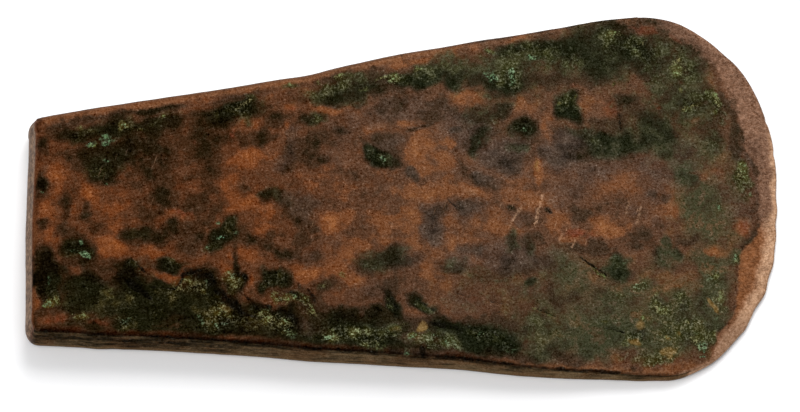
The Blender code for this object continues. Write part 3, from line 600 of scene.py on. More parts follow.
@dataclass(frozen=True)
class CeltForm:
    """The bare celt's sizes in metres, and its outline and heights."""

    length: float = 0.1308
    stations: tuple[float, ...] = (0.0, 0.27, 0.50, 0.68)
    widths: tuple[float, ...] = (0.0393, 0.0471, 0.0561, 0.0626, 0.0668)
    thicknesses: tuple[float, ...] = (0.0075, 0.0068, 0.0061, 0.0045, 0.0023, 0.0018)
    crown: float = 0.0004
    edge_sweep: float = 0.0212
    edge_fullness: float = 2.08
    edge_tilt: float = 0.0007
    edge_thickness: float = 0.0007
    edge_height: float = 0.0011
    bevel_width: float = 0.0056
    under_bevel_width: float = 0.0048
    edge_runout: float = math.radians(22)
    corner_radius: float = 0.0022
    butt_skew: float = math.radians(3.7)
    skew_pivot: float = 0.36
    skew_reach: float = 0.33
    butt_lean: float = 0.0012
    butt_swell: float = 0.0005
    side_lean: float = 0.0002
    side_swell: float = 0.0002
    axis_bow: float = 0.0006
    smoothings: int = 70
    near_arris: float = 0.12
    far_arris: float = 0.22
    under_arris: float = 0.11
    hollows: tuple[tuple[float, ...], ...] = (
        (0.13, -0.31, 7.5, 4, -22, 0.45), (0.19, -0.26, 5.5, 3.2, -32, 0.55),
        (0.245, -0.33, 8.5, 4.2, -28, 0.65), (0.305, -0.38, 8, 3.6, -18, 0.5),
        (0.35, -0.29, 6, 3.4, -30, 0.5), (0.4, -0.37, 7.5, 3.4, -12, 0.45), (0.48, -0.35, 6.5, 3, -35, 0.4),
        (0.53, -0.4, 7.5, 3.4, -10, 0.4),
    )

    @property
    def shoulder(self) -> float:
        """Where the sides end, as a share of the length."""
        return 1 - self.edge_sweep / self.length

    def through(self, places: Sequence[float], values: Sequence[float], at: Array) -> Array:
        """Reads a smooth curve through stations.

        Args:
            places: the stations' places.
            values: the values there.
            at: places to read.

        Returns:
            The values of the curve.
        """
        p, v = np.array(places), np.array(values)
        last = len(p) - 1
        before, after = (np.clip(np.arange(last + 1) + way, 0, last) for way in (-1, 1))
        slope = (v[after] - v[before]) / (p[after] - p[before])
        at = np.clip(at, p[0], p[-1])
        i = np.clip(np.searchsorted(p, at, side="right") - 1, 0, last - 1)
        span = p[i + 1] - p[i]
        t = (at - p[i]) / span
        rise = v[i] * (1 + 2 * t) * (1 - t) ** 2 + v[i + 1] * t * t * (3 - 2 * t)
        return rise + span * slope[i] * t * (1 - t) ** 2 - span * slope[i + 1] * t * t * (1 - t)

    def share(self, x: Array) -> Array:
        """Share of the length, from the butt, that each place lies at."""
        return np.clip(x / self.length + 0.5, 0, 1)

    def width(self, share: Array) -> Array:
        """Width of the body at shares of the length."""
        return self.through((*self.stations, self.shoulder), self.widths, share)

    def thickness(self, share: Array) -> Array:
        """Thickness of the body at shares of the length."""
        return self.through((*self.stations, self.shoulder, 1.0), self.thicknesses, share)

    def bow(self, share: Array) -> Array:
        """How far the middle line bends sideways at shares of the length."""
        return self.axis_bow * (math.sin(math.pi * self.shoulder) - np.sin(math.pi * share))

    def fuller(self, value: Array) -> Array:
        """A sine or cosine changed so that the edge is fuller than an ellipse."""
        return np.copysign(np.abs(value) ** (2 / self.edge_fullness), value)

    def outline(self, step: float) -> Rim:
        """The outline seen from above, counter-clockwise from the near corner of the butt.

        Args:
            step: about how far apart its points are, in metres.

        Returns:
            The points and their tags.
        """
        parts: list[tuple[Run, Array, Array, Array, Array, Array]] = []
        zero = np.zeros_like
        corner_steps = max(6, round(1.6 * self.corner_radius / step))
        turn = 0.5 * math.pi * np.arange(corner_steps + 1) / corner_steps
        centre = -self.length / 2 + self.corner_radius
        corner_x = centre - self.corner_radius * np.cos(turn)
        corner_y = self.width(self.share(np.array(centre))) / 2 - self.corner_radius * (1 - np.sin(turn))
        tags = np.arange(corner_steps + 1) / corner_steps
        parts.append((Run.NEAR_CORNER, tags, corner_x, -corner_y, zero(turn), zero(turn)))
        side_steps = round((self.shoulder * self.length - self.corner_radius) / step)
        tags = np.arange(1, side_steps) / side_steps
        first = self.corner_radius / self.length
        share = first + (self.shoulder - first) * tags
        side_x = share * self.length - self.length / 2
        side_y = self.width(share) / 2
        parts.append((Run.NEAR_SIDE, tags, side_x, -side_y, zero(tags), zero(tags)))
        edge_steps = round(1.36 * self.widths[-1] / step)
        along = np.arange(edge_steps + 1) / edge_steps
        turn = math.pi * (along - 0.5)
        edge_x = self.length / 2 - self.edge_sweep * (1 - self.fuller(np.cos(turn).clip(0)))
        edge_y = self.widths[-1] / 2 * self.fuller(np.sin(turn))
        sharp = smooth(0, self.edge_runout, math.pi / 2 - np.abs(turn))
        parts.append((Run.CUTTING_EDGE, along, edge_x, edge_y, sharp, self.edge_tilt * np.sin(2 * turn)))
        parts.append((Run.FAR_SIDE, tags, side_x[::-1], side_y[::-1], zero(tags), zero(tags)))
        tags = np.arange(corner_steps + 1) / corner_steps
        parts.append((Run.FAR_CORNER, tags, corner_x[::-1], corner_y[::-1], zero(tags), zero(tags)))
        butt_steps = round(self.widths[0] / step)
        tags = np.arange(1, butt_steps) / butt_steps
        butt_x = np.full(len(tags), -self.length / 2)
        parts.append((Run.BUTT, tags, butt_x, corner_y[0] * (1 - 2 * tags), zero(tags), zero(tags)))
        return self.tagged(parts)

    def tagged(self, parts: list[tuple[Run, Array, Array, Array, Array, Array]]) -> Rim:
        """Joins the runs into one outline, skews the butt and pushes the dents in.

        Args:
            parts: for each run its name, its shares along, x, y, sharpness and shift in x.

        Returns:
            The finished outline.
        """
        run = np.concatenate([np.full(len(part[1]), part[0].value) for part in parts])
        along, x, y, sharp, shift = (np.concatenate([part[n] for part in parts]) for n in range(1, 6))
        share = self.share(x)
        turned = np.maximum(0, 1 - share / self.skew_reach) ** 2
        skew = math.tan(self.butt_skew) * (y + self.skew_pivot * self.widths[0]) * turned
        place = np.stack([x + skew + shift, y + self.bow(share)], 1)
        way = np.roll(place, -1, 0) - np.roll(place, 1, 0)
        inward = np.stack([-way[:, 1], way[:, 0]], 1)
        inward /= np.linalg.norm(inward, axis=1)[:, None]
        for _ in range(self.smoothings):
            inward = (np.roll(inward, 1, 0) + 2 * inward + np.roll(inward, -1, 0)) / 4
        inward /= np.linalg.norm(inward, axis=1)[:, None]
        push = np.zeros(len(x))
        for kind, bulges in DENTS.items():
            for dent in bulges:
                push += (run == kind.value) * dent.height * MM * hill(along - dent.along, dent.width)
        place = place - inward * push[:, None]
        across = smooth(-0.5, 0.5, y / self.widths[0])
        upper = self.near_arris + (self.far_arris - self.near_arris) * across
        thickness = self.thickness(share)
        at_butt = smooth(0, 1, 1 - (x + self.length / 2) / self.corner_radius)
        return Rim(place, inward, run, sharp, at_butt, upper * thickness, self.under_arris * thickness)

    def body(self, x: Array, y: Array) -> Array:
        """Height of the upper face away from the rim and the bevel.

        Args:
            x: places along the celt, in metres.
            y: places across the celt, in metres.

        Returns:
            The heights in metres.
        """
        share = self.share(x)
        across = 2 * (y - self.bow(share)) / self.width(share)
        height = self.thickness(share) + self.crown * (1 - np.minimum(across**2, 1))
        for at, beside, length, width, turn, sunk in self.hollows:
            middle_y = beside * self.width(share)
            dx, dy = (share - at) * self.length / MM, (y - middle_y) / MM
            turn = math.radians(turn)
            along = dx * math.cos(turn) + dy * math.sin(turn)
            aside = dy * math.cos(turn) - dx * math.sin(turn)
            height = height - sunk * MM * hill(along, length) * hill(aside, width)
        return height

    def upper(self, x: Array, y: Array, depth: Array, arris: Array, sharp: Array) -> Array:
        """Height of the upper face, with its rounded rim and the edge's facet.

        Args:
            x: places along the celt, in metres.
            y: places across the celt, in metres.
            depth: how far inside the outline each place is.
            arris: the rim's rounding there.
            sharp: how sharp the rim is there, from 0 on the sides to 1 on the cutting edge.

        Returns:
            The heights in metres.
        """
        body = self.body(x, y)
        rim = self.edge_height + self.edge_thickness / 2
        facet = rim + (body - rim) * np.clip(depth / self.bevel_width, 0, 1)
        rounded = body - arris + self.arc(depth, arris)
        return rounded + (facet - rounded) * sharp

    def under(self, depth: Array, arris: Array, sharp: Array) -> Array:
        """Height of the underside: flat but for its rim and the edge's lower facet.

        Args:
            depth: how far inside the outline each place is.
            arris: the rim's rounding there.
            sharp: how sharp the rim is there.

        Returns:
            The heights in metres.
        """
        rim = self.edge_height - self.edge_thickness / 2
        facet = rim * (1 - np.clip(depth / self.under_bevel_width, 0, 1))
        rounded = arris - self.arc(depth, arris)
        return rounded + (facet - rounded) * sharp

    @staticmethod
    def arc(depth: Array, radius: Array) -> Array:
        """Rise of a quarter circle of that radius at a depth inside its outer end."""
        left = radius - np.clip(depth, 0, radius)
        return np.sqrt(radius**2 - left**2)


class Number:
    """A number that a material works out, as the socket that gives it. Sums of it add nodes."""

    def __init__(self, tree: "NodeTree", socket: Any) -> None:
        """Wraps an output socket of one of the tree's nodes."""
        self.tree = tree
        self.socket = socket

    def math(self, operation: str, *others: "Number | float") -> "Number":
        """Adds a Math node with this number as its first input."""
        return self.tree.math(operation, self, *others)

    def __add__(self, other: "Number | float") -> "Number":
        """The sum."""
        return self.math("ADD", other)

    __radd__ = __add__

    def __sub__(self, other: "Number | float") -> "Number":
        """The difference."""
        return self.math("SUBTRACT", other)

    def __rsub__(self, other: float) -> "Number":
        """The difference the other way round."""
        return self.tree.math("SUBTRACT", other, self)

    def __mul__(self, other: "Number | float") -> "Number":
        """The product."""
        return self.math("MULTIPLY", other)

    __rmul__ = __mul__

    def most(self, other: "Number | float") -> "Number":
        """The larger of the two."""
        return self.math("MAXIMUM", other)

    def rise(self, low: float, high: float) -> "Number":
        """A smooth rise from 0 where the number is low to 1 where it is high."""
        node = self.tree.add(
            "ShaderNodeMapRange",
            {"interpolation_type": "SMOOTHSTEP"},
            {"Value": self, "From Min": low, "From Max": high},
        )
        return Number(self.tree, node.outputs["Result"])


class NodeTree:
    """Builds a node tree with one call for each node."""

    def __init__(self, tree: Any) -> None:
        """Empties a Blender node tree."""
        self.tree = tree
        tree.nodes.clear()

    def add(self, kind: str, settings: dict[str, Any], inputs: dict[str | int, Any]) -> Any:
        """Adds a node of any kind.

        Args:
            kind: its type.
            settings: its properties, set first.
            inputs: values or links of its sockets, by name or number.

        Returns:
            The node.
        """
        node = self.tree.nodes.new(kind)
        for name, value in settings.items():
            setattr(node, name, value)
        for key, value in inputs.items():
            socket = node.inputs[key]
            if isinstance(value, Number):
                value = value.socket
            if isinstance(value, bpy.types.NodeSocket):
                self.tree.links.new(value, socket)
            else:
                socket.default_value = value
        return node

    def math(self, operation: str, *values: Number | float) -> Number:
        """Adds a Math node."""
        node = self.add("ShaderNodeMath", {"operation": operation}, dict(enumerate(values)))
        return Number(self, node.outputs[0])

    def mix(self, share: Number | float, first: Any, second: Any) -> Any:
        """Mixes two colours or colour sockets, where the share says how much of the second shows."""
        node = self.add("ShaderNodeMix", {"data_type": "RGBA"}, {0: share, 6: first, 7: second})
        return node.outputs[2]

    def lifted(self, colour: Any, amount: Number) -> Any:
        """Makes a colour lighter or darker by as much as the eye sees, without tinting it.

        Args:
            colour: the colour's socket.
            amount: how much lighter it gets, where 1 is from black to white.

        Returns:
            The new colour's socket.
        """
        seen = self.add("ShaderNodeGamma", {}, {"Color": colour, "Gamma": 1 / EYE_GAMMA}).outputs[0]
        kept = self.vector_math("MAXIMUM", self.vector_math("ADD", seen, amount), (0.0, 0.0, 0.0))
        return self.add("ShaderNodeGamma", {}, {"Color": kept, "Gamma": EYE_GAMMA}).outputs[0]

    def vector_math(self, operation: str, first: Any, second: Any) -> Any:
        """Adds a Vector Math node.

        Args:
            operation: its operation.
            first: a vector or colour, or its socket.
            second: the same.

        Returns:
            The result's socket.
        """
        return self.add("ShaderNodeVectorMath", {"operation": operation}, {0: first, 1: second}).outputs[0]

    def tinted(self, colour: Any, tint: tuple[float, float, float]) -> Any:
        """Multiplies a colour by a tint, as three shares."""
        return self.vector_math("MULTIPLY", colour, tint)

    def attribute(self, name: str) -> Number:
        """Reads a number stored on the mesh."""
        node = self.add("ShaderNodeAttribute", {"attribute_name": name}, {})
        return Number(self, node.outputs["Fac"])

    def noise(self, place: Any, size: float, detail: float = 2, roughness: float = 0.5) -> Number:
        """Adds noise round 0.5 with features of a size in metres and so many finer layers."""
        inputs = {"Vector": place, "Scale": 1 / size, "Detail": detail, "Roughness": roughness}
        return Number(self, self.add("ShaderNodeTexNoise", {}, inputs).outputs[0])

    def surface(self, inputs: dict[str | int, Any]) -> None:
        """Ends a material's tree with a Principled shader that has these values or links."""
        shader = self.add("ShaderNodeBsdfPrincipled", {}, inputs)
        self.add("ShaderNodeOutputMaterial", {}, {"Surface": shader.outputs[0]})


def new_material(name: str) -> tuple[Any, NodeTree]:
    """Makes a material.

    Args:
        name: its name.

    Returns:
        The Blender material and its empty tree.
    """
    material = bpy.data.materials.new(name)
    material.use_nodes = True
    return material, NodeTree(material.node_tree)


@dataclass(frozen=True)
class Spread:
    """How a coat lies: how ragged its edge is, where it starts and is full, and how well it covers."""

    ragged: float
    start: float
    full: float
    cover: float = 1.0


SPREADS: dict[Coat, Spread] = {
    Coat.RED: Spread(1.0, 0.30, 1.0, 0.7),
    Coat.RIM: Spread(0.8, 0.15, 0.95),
    Coat.GREY_FILM: Spread(0.9, 0.05, 1.10, 0.75),
    Coat.GREEN_FILM: Spread(0.9, 0.05, 1.05, 0.88),
    Coat.GREEN_CRUST: Spread(0.9, 0.15, 1.05, 0.85),
    Coat.PALE_CRUST: Spread(1.0, 0.25, 1.0, 0.85),
    Coat.OCHRE: Spread(0.7, 0.20, 0.85, 0.8),
    Coat.VERDIGRIS: Spread(1.0, 0.25, 1.0),
    Coat.BARE_EDGE: Spread(0.6, 0.05, 0.65),
}


@dataclass(frozen=True)
class CopperFinish:
    """Old copper: worn bright where it is handled, tarnished and crusted elsewhere.

    The colours are those seen under the studio's light. Pairs run from dark to light.
    """

    tones: tuple[tuple[float, Shade], ...] = (
        (0.00, (15, 12, 4)),
        (0.20, (33, 27, 14)),
        (0.40, (60, 44, 31)),
        (0.58, (84, 57, 40)),
        (0.76, (108, 68, 42)),
        (1.00, (142, 93, 57)),
    )
    plain_tone: float = 0.58
    bright_gain: float = 0.24
    tarnish_loss: float = 0.62
    red: Shade = (106, 50, 32)
    rim: Shade = (116, 78, 52)
    near_rim: Shades = ((17, 9, 4), (50, 27, 12))
    grey_film: Shades = ((50, 40, 35), (82, 67, 56))
    green_film: Shades = ((25, 29, 15), (64, 68, 46))
    crust: Shades = ((26, 28, 12), (70, 70, 40))
    pale: Shades = ((46, 44, 22), (94, 90, 54))
    verdigris: Shades = ((40, 52, 34), (96, 118, 86))
    warmth: tuple[float, float, float] = (1.03, 0.79, 0.585)
    ochre: Shade = (126, 100, 58)
    inner_edge: Shades = ((98, 63, 40), (143, 92, 57))
    # The outer side of the bare edge: bare metal, lightened partly by a painted highlight of the bevel.
    outer_edge: Shades = ((124, 92, 70), (190, 150, 118))
    brown_edge: Shades = ((84, 61, 47), (130, 96, 75))
    side: Shades = ((40, 32, 18), (130, 106, 76))
    brown_side: Shades = ((34, 20, 9), (112, 76, 48))
    # The butt's face is lighter than the copper around it, partly as painted light from the left and from
    # the floor.
    butt: Shades = ((98, 73, 54), (168, 134, 106))
    scratch_cover: float = 0.6
    # The colour of the painted shade in the hollows and along the rims, and of the underside's grime.
    dirt: Shade = (9, 7, 3)
    dirt_and_shade_cover: float = 0.92
    pale_dots: Shade = (128, 119, 70)
    leafy_dots: Shade = (94, 120, 68)
    green_dots: Shade = (102, 132, 88)
    green_dot_cover: float = 0.48
    dot_lift: float = 0.09
    crust_shade: float = 0.02
    fleck_lift: float = 0.08
    bump_strength: float = 0.7
    bump_height: float = 0.12 * MM

    def material(self) -> Any:
        """Builds the material.

        Returns:
            The Blender material.
        """
        material, tree = new_material("old_copper")
        CopperPaint(self, tree).paint()
        return material


class CopperPaint:
    """Lays the copper's colours over each other, by the skin's coats and by noise of several sizes."""

    def __init__(self, finish: CopperFinish, tree: NodeTree) -> None:
        """Adds the noise, whose values lie round 0.5, and reads the coats.

        Args:
            finish: the colours.
            tree: the material's tree.
        """
        self.finish, self.tree = finish, tree
        self.place = tree.add("ShaderNodeTexCoord", {}, {}).outputs["Object"]
        self.wide = tree.noise(self.place, 8 * MM, 2)
        self.patchy = tree.noise(self.place, 2.6 * MM, 2, 0.55)
        self.fine = tree.noise(self.place, 0.8 * MM, 2)
        self.specks = tree.noise(self.place, 0.40 * MM, 1)
        self.dust = tree.noise(self.place, 0.2 * MM, 1)
        self.flecks = tree.noise(self.place, 0.36 * MM, 1)
        self.hatch = self.brushed(8, 0.10, 0.30 * MM)
        self.cross_hatch = self.brushed(98, 0.12, 0.34 * MM)
        self.slow = self.patchy * 0.7 + self.wide * 0.3
        self.mottled = self.slow * 0.5 + self.fine * 0.5
        self.ragged = (self.patchy - 0.5) * 1.5 + (self.fine - 0.5) * 0.7
        self.coat = {kind: tree.attribute(kind.value) for kind in Coat}
        self.crusted, self.pale = self.shown(Coat.GREEN_CRUST), self.shown(Coat.PALE_CRUST)
        self.minty, self.bare = self.shown(Coat.VERDIGRIS), self.shown(Coat.BARE_EDGE)
        self.rough = self.crusted.most(self.pale).most(self.minty)
        lines = self.brushed(70, 0.10, 0.30 * MM, 1).rise(0.68, 0.78) * self.coat[Coat.SCRATCHED]
        self.scratched = lines.most(self.coat[Coat.SCRATCH] * self.specks.rise(0.25, 0.5))
        self.colour: Any = seen(finish.tones[0][1])

    def brushed(
        self, turn: float, stretch: float, size: float, detail: float = 2, roughness: float = 0.5
    ) -> Number:
        """Noise drawn out into lines.

        Args:
            turn: the lines' turn in degrees.
            stretch: how fine it is along the lines, as a share of how fine it is across them.
            size: the size of its features across the lines, in metres.
            detail: how many finer layers it has.
            roughness: how strong those are.

        Returns:
            Values round 0.5.
        """
        inputs = {"Vector": self.place, "Rotation": (0, 0, -math.radians(turn))}
        spun = self.tree.add("ShaderNodeMapping", {}, inputs).outputs[0]
        drawn = self.tree.add("ShaderNodeMapping", {}, {"Vector": spun, "Scale": (stretch, 1, 1)}).outputs[0]
        return self.tree.noise(drawn, size, detail, roughness)

    def shown(self, kind: Coat) -> Number:
        """How much of a coat shows once its edge is broken up."""
        spread, coat = SPREADS[kind], self.coat[kind]
        return (coat + self.ragged * spread.ragged).rise(spread.start, spread.full) * coat.rise(0.02, 0.15)

    def between(self, shades: Shades, value: Number, low: float, high: float) -> Any:
        """A colour from the dark shade, where the value is low, to the light one, where it is high."""
        return self.tree.mix(value.rise(low, high), seen(shades[0]), seen(shades[1]))

    def lay(self, share: Number, colour: Any) -> None:
        """Lays a colour over those so far, as strongly as the share says."""
        self.colour = self.tree.mix(share, self.colour, colour)

    def paint(self) -> None:
        """Builds the whole material."""
        self.lay_metal()
        self.lay_films()
        self.lay_crusts()
        self.lay_edge()
        self.lay_sides()
        self.lay_marks()
        self.lay_grain()
        coat, rough = self.coat, self.rough
        dull = coat[Coat.GREEN_FILM].most(coat[Coat.SIDE] * 1.6)
        height = self.patchy * 0.3 + self.fine * 0.35 + self.specks * (0.25 + rough * 0.5) + self.dust * 0.15
        height = height + self.hatch * 0.15 - self.scratched * 0.2
        finish = self.finish
        relief = {"Strength": finish.bump_strength, "Distance": finish.bump_height, "Height": height}
        self.tree.surface(
            {
                "Base Color": self.colour,
                "Roughness": 0.46 + rough * 0.3 + (self.patchy - 0.5) * 0.3 - coat[Coat.SIDE] * 0.1,
                "Metallic": (1 - rough) * (0.5 - coat[Coat.TARNISH] * 0.3) * (1 - dull * 0.6),
                "Specular IOR Level": 0.0,
                "Normal": self.tree.add("ShaderNodeBump", {}, relief).outputs[0],
            }
        )

    def lay_metal(self) -> None:
        """The metal from its darkest tarnish to its brightest wear, its red places and its worn rims."""
        finish, coat = self.finish, self.coat
        tone = finish.plain_tone + coat[Coat.BRIGHT_COPPER] * finish.bright_gain
        tone = tone - coat[Coat.TARNISH] * finish.tarnish_loss
        tone = tone + (self.wide - 0.5) * 0.7 + (self.patchy - 0.5) * 0.65 + (self.fine - 0.5) * 0.1
        for (low, _), (high, brighter) in zip(finish.tones, finish.tones[1:]):
            self.lay(tone.rise(low, high), seen(brighter))
        self.lay(self.shown(Coat.RED) * SPREADS[Coat.RED].cover, seen(finish.red))
        near_rim = self.between(finish.near_rim, self.patchy, 0.36, 0.68)
        rim = self.tree.mix(coat[Coat.NEAR_RIM].rise(0.1, 0.9), seen(finish.rim), near_rim)
        self.lay(self.shown(Coat.RIM) * (0.8 + coat[Coat.NEAR_RIM] * 0.15), rim)

    def lay_films(self) -> None:
        """The grey and the green film, the green one thinner and broken where it is light."""
        finish, coat = self.finish, self.coat
        grey = self.between(finish.grey_film, self.slow, 0.35, 0.65)
        self.lay(self.shown(Coat.GREY_FILM) * SPREADS[Coat.GREY_FILM].cover, grey)
        shade = self.slow - coat[Coat.TARNISH] * 0.20 + coat[Coat.LIGHT_FILM] * 0.18 - 0.06
        green = self.between(finish.green_film, shade, 0.30, 0.66)
        thin = coat[Coat.LIGHT_FILM] * (self.patchy * 0.6 + self.fine * 0.4).rise(0.50, 0.60) * 0.4
        self.lay(self.shown(Coat.GREEN_FILM) * (SPREADS[Coat.GREEN_FILM].cover - thin), green)

    def lay_crusts(self) -> None:
        """The green and pale crusts, warmer towards the butt, the ochre grime and the verdigris."""
        finish = self.finish
        crust = self.between(finish.crust, self.slow - self.coat[Coat.TARNISH] * 0.08, 0.34, 0.62)
        self.lay(self.crusted * SPREADS[Coat.GREEN_CRUST].cover, crust)
        pale = self.between(finish.pale, self.slow, 0.36, 0.62)
        self.lay(self.pale * SPREADS[Coat.PALE_CRUST].cover, pale)
        self.lay(self.coat[Coat.WARM], self.tree.tinted(self.colour, finish.warmth))
        self.lay(self.shown(Coat.OCHRE) * SPREADS[Coat.OCHRE].cover, seen(finish.ochre))
        crumbs = self.fine * 0.5 + self.specks * 0.5
        verdigris = self.between(finish.verdigris, crumbs, 0.36, 0.66)
        self.lay(self.minty * (0.45 + crumbs.rise(0.40, 0.58) * 0.45), verdigris)

    def lay_edge(self) -> None:
        """The bare metal beside the cutting edge, lighter at its outer side, partly by a painted highlight,
        and browner far away.
        """
        finish, coat, mottled = self.finish, self.coat, self.mottled
        edge = self.tree.mix(
            (coat[Coat.OUTER_EDGE] + self.ragged * 0.12 + (self.fine - 0.5) * 0.3).rise(0.05, 0.95),
            self.between(finish.inner_edge, mottled, 0.24, 0.74),
            self.between(finish.outer_edge, mottled, 0.14, 0.72),
        )
        browned = (coat[Coat.BROWN_EDGE] + self.ragged * 0.3).rise(0.1, 0.9)
        brown = self.between(finish.brown_edge, mottled - coat[Coat.TARNISH] * 0.35, 0.20, 0.78)
        self.lay(self.bare, self.tree.mix(browned, edge, brown))

    def lay_sides(self) -> None:
        """The narrow sides, with lines along them, and the butt's face, both lighter towards the foot by
        painted light.
        """
        finish, foot = self.finish, self.coat[Coat.FOOT_LIGHT]
        lines = self.brushed(0, 0.2, 0.9 * MM, 3, 0.6)
        lines = (lines - 0.5) * 0.8 + (self.patchy - 0.5) * 0.45 + 0.5 + foot * 0.55
        browner = (self.wide + (self.patchy - 0.5) * 0.5).rise(0.40, 0.62) * (0.6 - foot * 0.4)
        olive = self.between(finish.side, lines, 0.34, 0.86)
        brown = self.between(finish.brown_side, lines, 0.34, 0.86)
        self.lay(self.coat[Coat.SIDE].rise(0.4, 0.7), self.tree.mix(browner, olive, brown))
        butt = self.between(finish.butt, self.mottled + foot * 0.15, 0.36, 0.70)
        self.lay(self.coat[Coat.BUTT_FACE].rise(0.6, 0.9), butt)

    def lay_marks(self) -> None:
        """The scratches, the painted shade in the hollows and along the rims, and the underside's grime."""
        finish, dirt = self.finish, self.coat[Coat.DIRT_AND_SHADE]
        self.lay(self.scratched * finish.scratch_cover, seen(finish.outer_edge[1]))
        mark = (dirt + (self.patchy - 0.5) * 0.7 + (self.fine - 0.5) * 1.1).rise(0.25, 0.85)
        self.lay(mark * dirt.rise(0.02, 0.2) * finish.dirt_and_shade_cover, seen(finish.dirt))

    def lay_grain(self) -> None:
        """The crusts' dots of straw, leaf green and mint, the brushed grain and the flecks."""
        finish, coat = self.finish, self.coat
        fine, specks, dust = self.fine - 0.5, self.specks - 0.5, self.dust - 0.5
        dots = (fine * 0.7 + specks * 0.8 + dust * 0.3).rise(0.02, 0.20)
        straw = self.tree.mix(self.patchy.rise(0.42, 0.58), seen(finish.pale_dots), seen(finish.leafy_dots))
        self.lay(dots * self.pale * (0.6 - coat[Coat.LIGHT_FILM] * 0.18 - coat[Coat.WARM] * 0.12), straw)
        self.lay(dots * self.minty * finish.green_dot_cover, seen(finish.green_dots))
        brushed = (self.hatch - 0.5) * 0.5 + (self.cross_hatch - 0.5) * 0.35
        grain = fine * 0.5 + specks + dust * 1.3 + brushed * (1 + coat[Coat.WARM] * 0.7)
        strength = 0.115 + self.rough * 0.07 + coat[Coat.OUTER_EDGE] * 0.02
        grain = grain * (strength - self.bare * 0.01 - coat[Coat.TARNISH] * 0.03)
        light, dark = self.flecks.rise(0.60, 0.76), (1 - self.flecks).rise(0.60, 0.76)
        filmed = coat[Coat.GREEN_CRUST]
        flecked = light * (0.9 + filmed * 0.8) - dark * (1 - filmed * 0.5)
        flecked = flecked * (self.patchy.rise(0.35, 0.65) + 0.35) * (1 - self.bare * 0.4)
        lift = dots * self.crusted * finish.dot_lift - self.rough * finish.crust_shade
        self.colour = self.tree.lifted(self.colour, grain + lift + flecked * finish.fleck_lift)


@dataclass(frozen=True)
class GrainFinish:
    """Crumbs of green copper salts, from olive through pale yellow-green to mint."""

    olive: Shade = (66, 70, 40)
    straw: Shade = (126, 122, 72)
    mint: Shade = (116, 164, 126)

    def material(self) -> Any:
        """Builds the material.

        Returns:
            The Blender material.
        """
        material, tree = new_material("copper_salts")
        place = tree.add("ShaderNodeTexCoord", {}, {}).outputs["Object"]
        colour = tree.mix(tree.attribute("grain_tone"), seen(self.olive), seen(self.straw))
        colour = tree.mix(tree.attribute("grain_mint"), colour, seen(self.mint))
        colour = tree.mix(tree.noise(place, 0.15 * MM).rise(0.5, 0.7) * 0.4, colour, seen(self.olive))
        tree.surface({"Base Color": colour, "Roughness": 0.7})
        return material


